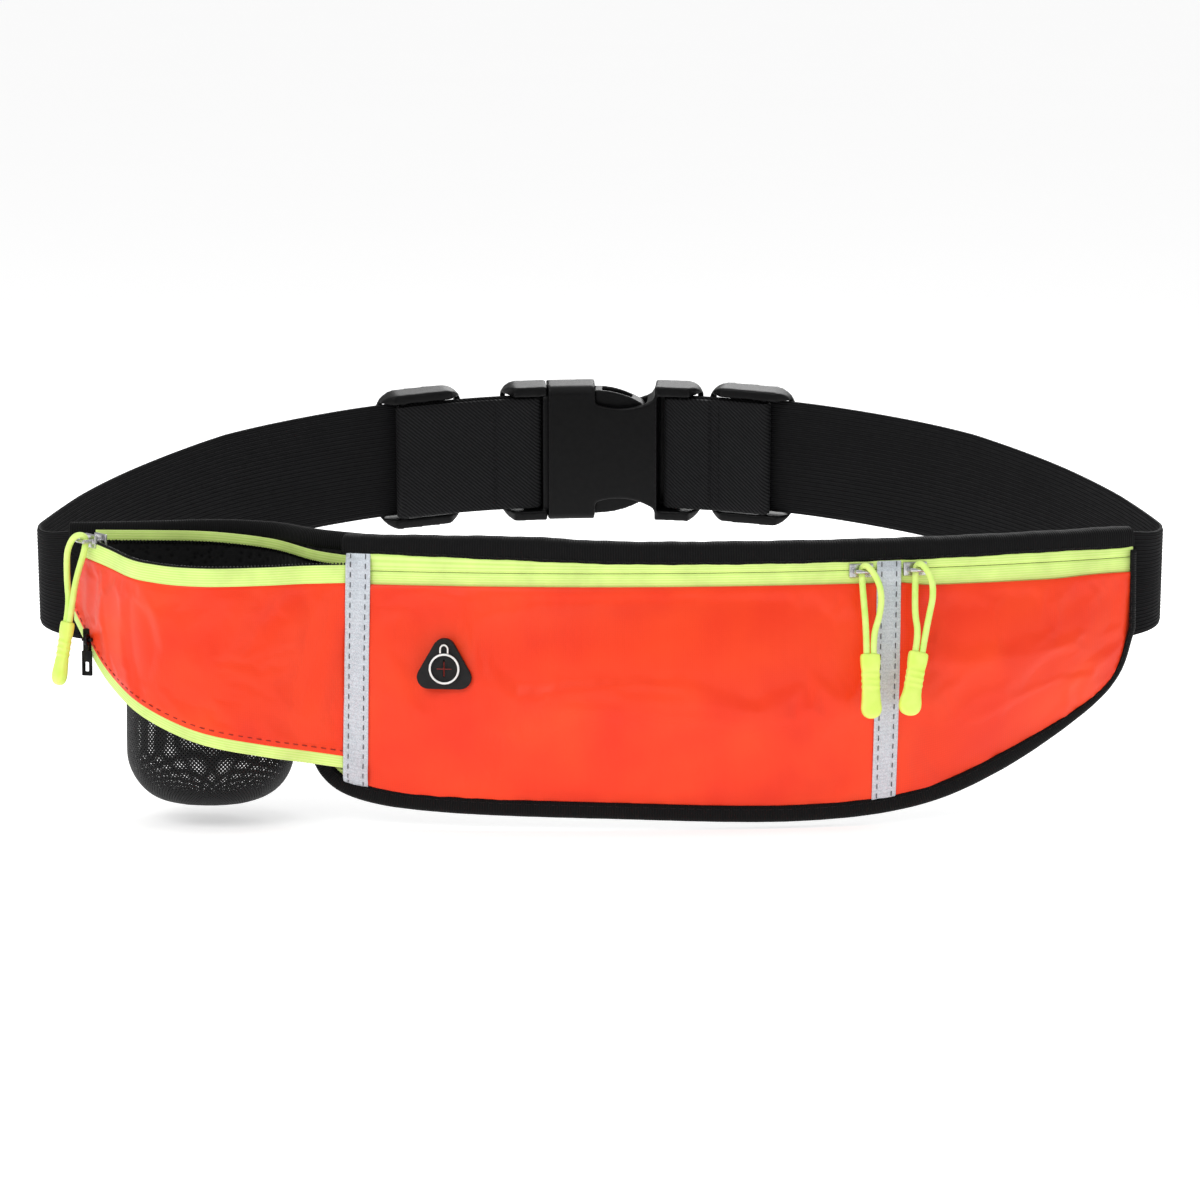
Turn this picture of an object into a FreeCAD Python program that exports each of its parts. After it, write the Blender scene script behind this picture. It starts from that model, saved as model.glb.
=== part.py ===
"""Running waist pack with a drop-down bottle pocket: body, zips, pulls, belt and side-release buckle.

Row frame, millimetres: origin on the wearer's waist axis at the belt's height, +X to the wearer's left,
-Y to the front of the pack, +Z up. The pack's front lies on one upright arc, so each zip slider turns about
that arc's axis. The back of the belt lies on a second arc, in a plane that rises towards the buckle, so each
piece that slides along the belt turns about the belt arc's axis.
"""

import FreeCAD
import Part

import math
import os

V = FreeCAD.Vector

# Driving dimensions: the pack
END_Y = -58.0  # the two ends of the pack
PACK_HALF = 193.0
FRONT_R = 400.0  # the zip line's radius in plan
FRONT_BOW = 47.5  # how far the middle stands in front of the ends
FRONT_CY = END_Y - FRONT_BOW + FRONT_R
TOP_Z = 23.5
BIND = 6.0  # width of the bound edge
END_BIND = 2.4  # its width at the pack's right end
NARROW_FROM_X = 140.0
ZIP_Z = 12.0
SLIT = 0.6  # half the gap between the two tapes
TAPE_TOP_Z = 15.0
PANEL_TOP_Z = 7.0
BACK_IN_R, BACK_OUT_R = 393.0, 396.0
SEAM_R = 396.8  # where the front panels' lower edge meets the back panel
TAPE_IN_R, TAPE_OUT_R = 400.0, 400.8
COIL_IN_R = 398.6
PANEL_T = 1.2
PANEL_TOP_R = 400.9
LEFT_STRIP_X, RIGHT_STRIP_X = -86.0, 101.6
STRIP_W = 8.8
STRIP_BULGE, MAIN_BULGE, RIGHT_BULGE = 5.0, 9.0, 4.5

# Driving dimensions: the bottle pocket
BOTTLE_X, BOTTLE_Y = -139.0, END_Y - 22.0
SLEEVE_R = 29.5  # inside
SLEEVE_T = 0.8
SLEEVE_BOTTOM_Z, SLEEVE_TOP_Z = -73.0, 7.0
SLEEVE_FILLET = 18.0
MOUTH_FRONT = [
    (-188, -3.0),
    (-173, -28.5),
    (-160, -46.5),
    (-139, -54.2),
    (-118, -49.5),
    (-104, -43.5),
    (-91, -40.0),
]
MOUTH_REAR = [(-82, -34.6), (-101, -19.0), (-118, 2.6), (-139, 10.4), (-160, 6.0), (-178, 2.8), (-191, 1.5)]
REAR_TAPE = MOUTH_REAR[:5] + [(-179, 0.5), (-187, -4.0)]
DROP_EDGE = [(-190, -8.0), (-173, -31.0), (-147, -45.5), (-116, -53.5), (-82, -60.0)]
DROP_TAPE = 4.6
REAR_WALL_TOP_Z, REAR_TOP_Z = 18.0, 24.5
MOUTH_EDGE = [(-192, 14.6), (-181, 13.1), (-174, 12.0), (-166, 10.3), (-158, 9.4), (-140, 8.5), (-80, 8.0)]
MOUTH_TAPE = 6.2
REAR_TAPE_EDGE = [(-190, 18.0), (-172, 17.6), (-150, 16.8), (-118, 14.6), (-99, 12.8), (-80, 12.2)]
REAR_TAPE_W = 3.8
CORNER_X = -105.0  # the main body's lower left corner, under the pocket

# Driving dimensions: the belt
BELT_W = 45.0
BELT_T = 1.6
BELT_RISE = 36.0  # the buckle's height over the pack's ends
BELT_BACK = 150.0  # the buckle's distance behind the pack's ends
BELT_HALF = 202.0
BEND_V, BEND_R = 22.0, 9.0
TILT = math.atan2(BELT_RISE, BELT_BACK)
BELT_V = math.hypot(BELT_RISE, BELT_BACK)
BELT_R = (BELT_HALF**2 + (BELT_V - BEND_V) ** 2) / (2 * (BELT_V - BEND_V))
BELT_CV = BELT_V - BELT_R
BEND_ANGLE = math.acos((BEND_V - BELT_CV) / BELT_R)
RAIL_IN, RAIL_OUT = 23.2, 27.0
LOOP_RHO = -3.8
LOOP_IN, LOOP_OUT = 1.1, 2.6
BAR_R = 1.0
LEFT_BAR_M, LEFT_BAR_BUCKLE = -78.0, -25.5
RIGHT_BAR_M, RIGHT_BAR_BUCKLE = 64.5, 27.5
LEFT_GLIDE, RIGHT_GLIDE = (-87.0, -53.0), (41.5, 75.5)
MOUTH_S, WINDOW_S, BODY_END_S, TAIL_END_S, MALE_END_S = -20.5, -2.5, 22.5, 39.7, -38.5
BACK_LIP_END_S, MALE_LIP_S = 31.0, -29.5  # the plates behind the webbing's folds
ARM_ROOT_S, ARM_TIP_S, ARM_W = -13.1, 17.2, 19.0

# Driving dimensions: sliders and pulls
MAIN_SLIDER_X, RIGHT_SLIDER_X = 91.8, 111.0
TAPE_MID_R = (TAPE_IN_R + TAPE_OUT_R) / 2
PLATE_OUT = 1.8  # the slider's outer face, from the tape's middle
BAR_OUT = 5.3  # the middle of the slider's bar, from the tape's middle
SLIDER_BAR_R = 0.75
CORD_D = 2.3
GRIP_Z, GRIP_LEN, GRIP_W, GRIP_T = -29.0, 23.0, 7.2, 3.6
PULL_LEAN, POCKET_PULL_LEAN = 13.0, 10.0
STRANDS = [
    (-0.9, 0.1, -16.0),
    (-0.8, 0.8, -9.4),
    (-0.5, 1.9, -3.6),
    (-0.3, 2.1, 2.1),
    (0.9, -2.1, 2.1),
    (4.2, -2.6, -3.4),
    (5.4, -1.2, -9.4),
    (4.2, -0.4, -16.0),
]
POCKET_SLIDER_AT = (V(-180.5, END_Y - 15.6, 19.9), -59.5)
DROP_SLIDER_AT = (V(-182.1, END_Y - 14.5, -12.0), -18.0)


def export(name, shape):
    """One STEP file per node, with the solids' count and volume printed."""
    solids = shape.Solids
    for solid in solids:
        if not solid.isValid() or solid.Volume <= 0:
            print("CHECK", name, solid.isValid(), solid.Volume)
    out = solids[0] if len(solids) == 1 else Part.makeCompound(solids)
    out.exportStep(f"parts/{name}.step")
    print(f"{name}: {len(solids)} solids, {sum(s.Volume for s in solids):.1f} mm3")


def line(a, b):
    return Part.LineSegment(a, b).toShape()


def face_of(edges):
    return Part.Face(Part.Wire(Part.__sortEdges__(edges)))


def polygon(points):
    return face_of([line(a, b) for a, b in zip(points, points[1:] + points[:1])])


def box(x0, x1, y0, y1, z0, z1):
    return Part.makeBox(x1 - x0, y1 - y0, z1 - z0, V(x0, y0, z0))


def union(shapes):
    out = shapes[0].fuse(shapes[1:])
    return out.removeSplitter()


def biggest(shape):
    return max(shape.Solids, key=lambda solid: solid.Volume)


def spline(points):
    curve = Part.BSplineCurve()
    curve.interpolate(points)
    return curve


# ---- the pack's front arc -------------------------------------------------


def front_y(x, radius=FRONT_R):
    return FRONT_CY - math.sqrt(radius**2 - x**2)


def front_point(radius, angle, z=0.0):
    return V(radius * math.sin(angle), FRONT_CY - radius * math.cos(angle), z)


def front_sector(r_in, r_out, x0, x1, z0, z1):
    """A slice of an upright ring about the front axis, between two places along the zip line."""
    a0, a1 = math.asin(x0 / FRONT_R), math.asin(x1 / FRONT_R)
    mid = (a0 + a1) / 2
    outer = [front_point(r_out, a, z0) for a in (a0, mid, a1)]
    inner = [front_point(r_in, a, z0) for a in (a0, mid, a1)]
    edges = [
        Part.Arc(*outer).toShape(),
        Part.Arc(*inner).toShape(),
        line(outer[0], inner[0]),
        line(outer[2], inner[2]),
    ]
    return face_of(edges).extrude(V(0, 0, z1 - z0))


def at_front(shape, x):
    """Turns a shape that was made at the middle of the zip line to a place along it."""
    out = shape.copy()
    out.rotate(V(0, FRONT_CY, 0), V(0, 0, 1), math.degrees(math.asin(x / FRONT_R)))
    return out


# ---- the pack's outline, seen from the front ------------------------------

BOTTOM = [
    (-106, -47.0),
    (-99, -62.8),
    (-85, -70.8),
    (-56, -74.4),
    (5, -76.2),
    (70, -78.0),
    (112, -74.3),
    (142.5, -63.5),
    (172, -45.8),
    (187, -31.7),
    (PACK_HALF, -14.0),
]


def bind_share(x):
    """The bound edge's width at x, as a share of its full width."""
    t = max(0.0, (x - NARROW_FROM_X) / (PACK_HALF - NARROW_FROM_X))
    return 1 - (1 - END_BIND / BIND) * t * t * (3 - 2 * t)


def outline_prism(inset):
    """The main body's front outline, shrunk by inset on its bound edges, as a prism along Y."""
    edge = spline([V(x, 0, z) for x, z in BOTTOM])
    points = []
    for x, z in BOTTOM:
        along = edge.tangent(edge.parameter(V(x, 0, z)))[0]
        width = inset * bind_share(x)
        points.append(V(x - along.z * width, -200, z + along.x * width))
    a, b = points[0], points[-1]
    top_a, top_b = V(a.x, a.y, TOP_Z + 30), V(b.x, b.y, TOP_Z + 30)
    face = face_of([spline(points).toShape(), line(b, top_b), line(top_b, top_a), line(top_a, a)])
    return face.extrude(V(0, 250, 0))


def height_at(curve_points, x):
    """The height of a front-view edge at x."""
    curve = spline([V(px, 0, pz) for px, pz in curve_points])
    lo, hi = curve.FirstParameter, curve.LastParameter
    for _ in range(50):
        mid = (lo + hi) / 2
        if curve.value(mid).x < x:
            lo = mid
        else:
            hi = mid
    return curve.value(lo).z


def bulge_at(x):
    """How far the front panel stands out at mid-height."""
    if x <= RIGHT_STRIP_X:
        half = (RIGHT_STRIP_X - LEFT_STRIP_X) / 2
        t = 1 - abs(x - (RIGHT_STRIP_X + LEFT_STRIP_X) / 2) / half
        return STRIP_BULGE + (MAIN_BULGE - STRIP_BULGE) * math.sin(t * math.pi / 2)
    t = (x - RIGHT_STRIP_X) / (PACK_HALF - RIGHT_STRIP_X)
    return STRIP_BULGE * (1 - t) ** 0.7 + RIGHT_BULGE * math.sin(t * math.pi)


def panel_section(x, out0, out1, top_z=PANEL_TOP_Z):
    """A closed section of a front panel at x, between two distances outside its inner face."""
    bottom_z = height_at(BOTTOM, x) + BIND * bind_share(x) - 1.0
    top_y, bottom_y = front_y(x, PANEL_TOP_R), front_y(x, SEAM_R)
    middle_y, middle_z = (top_y + bottom_y) / 2 - bulge_at(x), (PANEL_TOP_Z + bottom_z) / 2

    def side(out):
        top, bottom = V(x, top_y - out, PANEL_TOP_Z), V(x, bottom_y - out, bottom_z)
        edges = [Part.Arc(top, V(x, middle_y - out, middle_z), bottom).toShape()]
        if top_z > PANEL_TOP_Z:
            edges.append(line(V(x, top_y - out, top_z), top))
        return edges, V(x, top_y - out, top_z), bottom

    near, near_top, near_bottom = side(out0)
    far, far_top, far_bottom = side(out1)
    ends = [line(near_top, far_top), line(near_bottom, far_bottom)]
    return Part.Wire(Part.__sortEdges__(near + far + ends))


def front_panel(stations):
    loft = Part.makeLoft([panel_section(x, 0.0, PANEL_T) for x in stations], True, False)
    return loft.common(outline_prism(BIND))


def strip(x):
    x0, x1 = x - STRIP_W / 2, x + STRIP_W / 2
    sections = [panel_section(px, PANEL_T + 0.15, PANEL_T + 0.65, TAPE_TOP_Z) for px in (x0, x, x1)]
    return Part.makeLoft(sections, True, False).common(outline_prism(BIND))


def divider(x):
    """The sewn wall between two compartments."""
    wall = Part.Face(panel_section(x, -30, -0.8)).extrude(V(0.8, 0, 0))
    room = front_sector(BACK_OUT_R + 0.1, FRONT_R + 30, x - 5, x + 5, -90, PANEL_TOP_Z)
    return wall.common(room).common(outline_prism(BIND))


# ---- the bottle pocket ----------------------------------------------------


def plan_strip(points, y0, y1, z0, z1):
    """An upright wall along a plan spline, from y0 to y1 beside it."""
    near = [V(x, END_Y + y + y0, z0) for x, y in points]
    far = [V(x, END_Y + y + y1, z0) for x, y in points]
    edges = [spline(near).toShape(), spline(far).toShape(), line(near[0], far[0]), line(near[-1], far[-1])]
    return face_of(edges).extrude(V(0, 0, z1 - z0))


def drop_prism(rise):
    """Everything over the pocket's lower edge, raised by rise."""
    points = [V(x, -200, z + rise) for x, z in DROP_EDGE]
    lower = spline(points).toShape()
    a, b = points[0], points[-1]
    top = 60.0
    far = V(a.x - 10, a.y, a.z)
    corners = [b, V(b.x, b.y, top), V(far.x, b.y, top), far, a]
    edges = [lower] + [line(p, q) for p, q in zip(corners, corners[1:])]
    return face_of(edges).extrude(V(0, 300, 0))


def under(edge, rise):
    """Everything under one of the pocket's upper edges, raised by rise."""
    points = [V(x, -200, z + rise) for x, z in edge]
    a, b = points[0], points[-1]
    low_a, low_b = V(a.x, a.y, -90), V(b.x, b.y, -90)
    face = face_of([spline(points).toShape(), line(b, low_b), line(low_b, low_a), line(low_a, a)])
    return face.extrude(V(0, 300, 0))


def sleeve():
    """The mesh pouch: a cup with a rounded bottom."""

    def cup(radius, z0, fillet, z1):
        a, b = V(0, 0, z0), V(radius - fillet, 0, z0)
        c, d = V(radius, 0, z0 + fillet), V(radius, 0, z1)
        slope = fillet * math.sqrt(0.5)
        middle = V(radius - fillet + slope, 0, z0 + fillet - slope)
        top = V(0, 0, z1)
        edges = [line(a, b), Part.Arc(b, middle, c).toShape(), line(c, d), line(d, top), line(top, a)]
        return face_of(edges).revolve(V(0, 0, 0), V(0, 0, 1), 360)

    outer = cup(SLEEVE_R + SLEEVE_T, SLEEVE_BOTTOM_Z, SLEEVE_FILLET + SLEEVE_T, SLEEVE_TOP_Z)
    inner = cup(SLEEVE_R, SLEEVE_BOTTOM_Z + SLEEVE_T, SLEEVE_FILLET, SLEEVE_TOP_Z + 1)
    out = outer.cut(inner)
    out.translate(V(BOTTLE_X, BOTTLE_Y, 0))
    return out


# ---- the belt: made flat in the plane of its arc, then tilted --------------


def to_world(shape):
    out = shape.copy()
    out.rotate(V(0, 0, 0), V(1, 0, 0), math.degrees(TILT))
    out.translate(V(0, END_Y, 0))
    return out


def belt_point(s, rho, w=0.0):
    angle = s / BELT_R
    r = BELT_R + rho
    return V(r * math.sin(angle), BELT_CV + r * math.cos(angle), w)


def belt_sector(s0, s1, rho0, rho1, w0, w1):
    """A block bent along the belt: s along it, rho outwards from the wearer, w across its width."""
    rows = [[belt_point(s, rho, w0) for s in (s0, (s0 + s1) / 2, s1)] for rho in (rho0, rho1)]
    edges = [Part.Arc(*row).toShape() for row in rows]
    edges += [line(rows[0][0], rows[1][0]), line(rows[0][2], rows[1][2])]
    return face_of(edges).extrude(V(0, 0, w1 - w0))


def belt_bar(s, rho, radius, half):
    return Part.makeCylinder(radius, 2 * half, belt_point(s, rho, -half), V(0, 0, 1))


def strap(side, s_in):
    """One side of the belt: the long arc, the tight bend at the pack's end and the sewn tail."""
    start = belt_point(s_in, 0)
    turn = BEND_ANGLE - s_in / BELT_R
    heading = -s_in / BELT_R

    def track(shift):
        """The strap's edge, shift mm to the left of travel."""
        edges, pos, h = [], V(start), heading
        for radius, angle in ((BELT_R, turn), (BEND_R, math.radians(100))):
            left = V(-math.sin(h), math.cos(h), 0)
            centre = pos - left * radius
            arc = []
            for part in (0, 0.5, 1):
                a = h - angle * part
                arc.append(centre + V(-math.sin(a), math.cos(a), 0) * (radius + shift))
            edges.append(Part.Arc(*arc).toShape())
            h -= angle
            pos = centre + V(-math.sin(h), math.cos(h), 0) * radius
        left = V(-math.sin(h), math.cos(h), 0)
        ahead = V(math.cos(h), math.sin(h), 0)
        a = pos + left * shift
        b = a + ahead * 9.0
        edges.append(line(a, b))
        return edges, belt_offset(start, heading, shift), b

    outer, outer_start, outer_end = track(BELT_T / 2)
    inner, inner_start, inner_end = track(-BELT_T / 2)
    face = face_of(outer + inner + [line(outer_start, inner_start), line(outer_end, inner_end)])
    face.translate(V(0, 0, -BELT_W / 2))
    solid = face.extrude(V(0, 0, BELT_W)).common(strap_outline())
    return solid if side > 0 else solid.mirror(V(0, 0, 0), V(1, 0, 0))


def strap_outline():
    """The strap's width, seen square on: full at the back, narrower at the fold beside the pack."""
    half = BELT_W / 2 + 0.5
    upper = [(-40, half), (140, half), (190, 19.5), (215, 16)]
    lower = [(215, -16), (190, -21.5), (140, -half), (-40, -half)]
    ring = upper + lower
    return polygon([V(u, -100, w) for u, w in ring]).extrude(V(0, 400, 0))


def belt_offset(point, heading, shift):
    return point + V(-math.sin(heading), math.cos(heading), 0) * shift


def at_belt(shape, s):
    """Turns a shape made at the belt's middle to a place s along it."""
    out = shape.copy()
    out.rotate(V(0, BELT_CV, 0), V(0, 0, 1), -math.degrees(s / BELT_R))
    return out


def frame_limits(s0, s1, corner, near, far, slope):
    """A frame's outline: rounded corners seen square on, and ends that thin on the wearer's side."""
    half_s, half_w = (s1 - s0) / 2, RAIL_OUT
    y = BELT_V - 20
    cut = corner * (1 - math.sqrt(0.5))
    edges = []
    for u_sign, w_sign in ((1, 1), (1, -1), (-1, -1), (-1, 1)):
        a = V(u_sign * (half_s - corner), y, w_sign * half_w)
        b = V(u_sign * half_s, y, w_sign * (half_w - corner))
        middle = V(u_sign * (half_s - cut), y, w_sign * (half_w - cut))
        edges.append(Part.Arc(a, middle, b).toShape())
    for sign in (1, -1):
        edges.append(line(V(sign * half_s, y, half_w - corner), V(sign * half_s, y, corner - half_w)))
        edges.append(line(V(corner - half_s, y, sign * half_w), V(half_s - corner, y, sign * half_w)))
    square_on = face_of(edges).extrude(V(0, 40, 0))
    half = [(half_s, far), (half_s, -0.4), (half_s - slope, near)]
    ring = half + [(-u, rho) for u, rho in reversed(half)]
    edge_on = polygon([V(u, BELT_V + rho, -40) for u, rho in ring]).extrude(V(0, 0, 80))
    return at_belt(square_on.common(edge_on), (s0 + s1) / 2)


def rounded_body(s0, s1, near, far, half_w, near_r, far_r):
    """A block bent along the belt with its long edges rounded."""
    edges = []
    for w_sign, rho, radius in ((1, far, far_r), (1, near, near_r), (-1, near, near_r), (-1, far, far_r)):
        toward = 1 if rho == near else -1
        centre = V(0, BELT_V + rho + toward * radius, w_sign * (half_w - radius))
        side = centre + V(0, 0, w_sign * radius)
        face = centre - V(0, toward * radius, 0)
        middle = centre + V(0, -toward, w_sign) * (radius * math.sqrt(0.5))
        edges.append(Part.Arc(side, middle, face).toShape())
    y_near, y_far = BELT_V + near, BELT_V + far
    edges.append(line(V(0, y_near, half_w - near_r), V(0, y_near, near_r - half_w)))
    edges.append(line(V(0, y_far, half_w - far_r), V(0, y_far, far_r - half_w)))
    for w_sign in (1, -1):
        edges.append(line(V(0, y_near + near_r, w_sign * half_w), V(0, y_far - far_r, w_sign * half_w)))
    turn = math.degrees((s1 - s0) / BELT_R)
    return at_belt(face_of(edges).revolve(V(0, BELT_CV, 0), V(0, 0, 1), -turn), s0)


def webbing_loop(s0, s1):
    """The webbing between a tri-glide's middle bar and a buckle's bar, once round both."""
    half = BELT_W / 2
    outer = belt_sector(s0, s1, LOOP_RHO - LOOP_OUT, LOOP_RHO + LOOP_OUT, -half, half)
    inner = belt_sector(s0, s1, LOOP_RHO - LOOP_IN, LOOP_RHO + LOOP_IN, -half, half)
    for s in (s0, s1):
        outer = outer.fuse(belt_bar(s, LOOP_RHO, LOOP_OUT, half))
        inner = inner.fuse(belt_bar(s, LOOP_RHO, LOOP_IN, half))
    return outer.removeSplitter().cut(inner)


def triglide(ends, bar_s):
    s0, s1 = ends
    pieces = []
    for w0, w1 in ((RAIL_IN, RAIL_OUT), (-RAIL_OUT, -RAIL_IN)):
        pieces.append(belt_sector(s0, s1, -5.2, 3.4, w0, w1))
    for s in (s0 + 1.5, s1 - 1.5):
        pieces.append(belt_sector(s - 1.5, s + 1.5, 1.2, 3.4, -RAIL_OUT, RAIL_OUT))
    whole = union(pieces).common(frame_limits(s0, s1, 8.0, -5.2, 3.6, 6.0))
    return union([whole, belt_bar(bar_s, LOOP_RHO, BAR_R, RAIL_IN + 0.5)])


def window(sign):
    """The scoop in the buckle's side that shows a release tab."""
    w_out = (RAIL_OUT + 3) * sign
    depth, shallow = 18.3 * sign, 21.8 * sign
    s0, s1 = WINDOW_S, BODY_END_S
    a, b = V(s0, BELT_V - 20, w_out), V(s0 + 1.0, BELT_V - 20, depth + 1.5 * sign)
    c, d = V(s0 + 8, BELT_V - 20, depth), V(s1 - 2.5, BELT_V - 20, shallow)
    e = V(s1 + 1.5, BELT_V - 20, w_out)
    edges = [line(a, b), Part.Arc(b, c, d).toShape(), line(d, e), line(e, a)]
    return face_of(edges).extrude(V(0, 40, 0))


def buckle_female():
    body = rounded_body(MOUTH_S, BODY_END_S, -8.5, 2.5, RAIL_OUT, 2.6, 1.4)
    body = body.cut(belt_sector(MOUTH_S - 1, 18.3, -6.7, 0.7, -25.2, 25.2))
    for sign in (1, -1):
        body = body.cut(window(sign))
    tail = [belt_sector(BODY_END_S - 1, BACK_LIP_END_S, 1.0, 2.4, -RAIL_OUT, RAIL_OUT)]
    for w0, w1 in ((RAIL_IN, RAIL_OUT), (-RAIL_OUT, -RAIL_IN)):
        tail.append(belt_sector(BODY_END_S - 1, TAIL_END_S, -7.6, 2.4, w0, w1))
    tail.append(belt_sector(TAIL_END_S - 2.4, TAIL_END_S, 1.0, 2.4, -RAIL_OUT, RAIL_OUT))
    limits = frame_limits(BODY_END_S - 12, TAIL_END_S, 6.0, -7.7, 2.6, 5.0)
    tail.append(belt_bar(RIGHT_BAR_BUCKLE, LOOP_RHO, BAR_R, RAIL_IN + 0.5))
    return union([body, union(tail).common(limits)])


def buckle_male():
    frame = [belt_sector(MALE_LIP_S, MOUTH_S - 0.4, 0.9, 2.2, -RAIL_OUT, RAIL_OUT)]
    for w0, w1 in ((RAIL_IN, RAIL_OUT), (-RAIL_OUT, -RAIL_IN)):
        frame.append(belt_sector(MALE_END_S, MOUTH_S - 0.4, -7.6, 2.2, w0, w1))
    frame.append(belt_sector(MALE_END_S, MALE_END_S + 2.4, 0.9, 2.2, -RAIL_OUT, RAIL_OUT))
    limits = frame_limits(MALE_END_S, MOUTH_S + 12, 6.0, -7.7, 2.4, 5.0)
    pieces = [union(frame).common(limits)]
    pieces.append(belt_sector(-22.6, ARM_ROOT_S - 0.8, -6.4, 0.4, -24.9, 24.9))
    pieces.append(belt_sector(-23.4, MOUTH_S - 0.6, 0.2, 1.2, -24.9, 24.9))
    pieces.append(belt_bar(LEFT_BAR_BUCKLE, LOOP_RHO, BAR_R, RAIL_IN + 0.5))
    pieces.append(belt_sector(ARM_ROOT_S - 1, 12, -4.2, -1.8, -3, 3))
    return union(pieces)


def release_arm(sign):
    """One sprung arm of the buckle's male half, with its thumb tab."""
    s0 = ARM_ROOT_S
    root_in, root_out, tab = (ARM_W - 1.4) * sign, (ARM_W + 1.4) * sign, 24.9 * sign
    y = BELT_V - 20
    tab_s, tip_s = WINDOW_S + 0.4, ARM_TIP_S
    a, b = V(s0, y, root_in), V(s0, y, root_out)
    c, d = V(tab_s, y, root_out), V(tab_s, y, tab)
    e, f = V(tab_s + 10, y, tab - 1.4 * sign), V(tip_s, y, ARM_W * sign)
    g, h = V(tip_s, y, (ARM_W - 3) * sign), V(tab_s + 8, y, (ARM_W - 3.5) * sign)
    edges = [line(a, b), line(b, c), line(c, d), line(f, g)]
    edges += [Part.Arc(d, e, f).toShape(), Part.Arc(g, h, a).toShape()]
    cutter = face_of(edges).extrude(V(0, 40, 0))
    arm = cutter.common(belt_sector(s0 - 1, tip_s + 1, -6.2, 0.2, -26, 26))
    thumb = belt_sector(tab_s + 3, tip_s - 5, -5.0, -1.0, *sorted(((ARM_W + 0.5) * sign, 30 * sign)))
    return arm.cut(thumb)


# ---- zip sliders and pulls: made at the tape's middle, with the outside towards -Y ----


def zip_station(x):
    """The place and the turn of a slider on the front zip line."""
    angle = math.asin(x / FRONT_R)
    return front_point(TAPE_MID_R, angle, ZIP_Z), math.degrees(angle)


def place(shape, station):
    spot, turn = station
    out = shape.copy()
    out.rotate(V(0, 0, 0), V(0, 0, 1), turn)
    out.translate(spot)
    return out


def slider():
    """Outer plate, post through the slit, plate behind the coil, and a bar on two legs for the cord."""
    half_w, half_h = 4.4, 2.4
    pieces = [
        box(-half_w, half_w, -PLATE_OUT, -0.6, -half_h, half_h),
        box(-1.6, 1.6, -0.8, 2.6, -0.4, 0.4),
        box(-half_w, half_w, 2.2, 3.3, -half_h, half_h),
        Part.makeCylinder(SLIDER_BAR_R, 6.4, V(-3.2, -BAR_OUT, 0), V(1, 0, 0)),
    ]
    for side in (-1, 1):
        inner, outer = sorted((2.2 * side, 3.2 * side))
        pieces.append(box(inner, outer, -BAR_OUT, -PLATE_OUT + 0.2, -SLIDER_BAR_R, SLIDER_BAR_R))
    return union(pieces)


def cord_wire(points):
    """Straight runs joined by tangent arcs, each arc as large as its two runs allow."""
    edges, radii, last = [], [], points[0]
    for before, here, after in zip(points, points[1:], points[2:]):
        u, w = (before - here).normalize(), (after - here).normalize()
        shorter = min((before - here).Length, (after - here).Length)
        turn = math.pi - u.getAngle(w)
        cut = 0.45 * shorter
        radius = cut / math.tan(turn / 2)
        radii.append(radius)
        a, b = here + u * cut, here + w * cut
        toward = (u + w).normalize()
        to_middle = radius / math.cos(turn / 2) - radius
        edges += [line(last, a), Part.Arc(a, here + toward * to_middle, b).toShape()]
        last = b
    edges.append(line(last, points[-1]))
    print("  radii", " ".join(f"{r:.1f}" for r in radii))
    return Part.Wire(edges)


def cord_tube(points):
    wire = cord_wire(points)
    start = (points[1] - points[0]).normalize()
    ring = Part.Wire(Part.makeCircle(CORD_D / 2, points[0], start))
    tube = wire.makePipeShell([ring], True, True)
    print(f"  tube {tube.Volume:.1f}, section times length {math.pi * (CORD_D / 2) ** 2 * wire.Length:.1f}")
    return tube


def pull_route(side, roll, hand):
    """Up one strand, behind and over the slider's bar, and down the other. The grip hangs side mm off."""
    turn = math.radians(roll)

    def from_grip(x, z):
        across = side + x * math.cos(turn) + z * math.sin(turn)
        return V(across, 0, GRIP_Z - x * math.sin(turn) + z * math.cos(turn))

    middle = []
    for x, y, z in STRANDS:
        drift = side * math.sin(max(0.0, z / GRIP_Z) * math.pi / 2)
        middle.append(V(hand * x + drift, y, z))
    first, last = -1.3 * hand, 1.3 * hand
    return [from_grip(first, 0), from_grip(first, 6.5)] + middle + [from_grip(last, 6.5), from_grip(last, 0)]


def pull_grip(side, roll):
    """The moulded end of a pull: waisted, with round lower corners."""
    half, bottom, round_r = GRIP_W / 2, -GRIP_LEN, 2.4
    y = GRIP_T / 2
    slope = math.sqrt(0.5) * round_r
    straight = half - round_r
    edges = [line(V(-half, y, 0), V(half, y, 0)), line(V(-straight, y, bottom), V(straight, y, bottom))]
    for sign in (-1, 1):
        top, low = V(sign * half, y, 0), V(sign * half, y, bottom + round_r)
        waist = V(sign * (half - 0.5), y, bottom * 0.4)
        corner = V(sign * (half - round_r + slope), y, bottom + round_r - slope)
        foot = V(sign * (half - round_r), y, bottom)
        edges += [Part.Arc(top, waist, low).toShape(), Part.Arc(low, corner, foot).toShape()]
    solid = face_of(edges).extrude(V(0, -GRIP_T, 0))
    solid.rotate(V(0, 0, 0), V(0, 1, 0), roll)
    solid.translate(V(side, 0, GRIP_Z))
    return solid


def place_pull(shape, station, lean):
    """Hangs a pull on its slider's bar, leant off the panel."""
    out = shape.copy()
    out.rotate(V(0, 0, 0), V(1, 0, 0), -lean)
    out.translate(V(0, -BAR_OUT, 0))
    return place(out, station)


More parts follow.
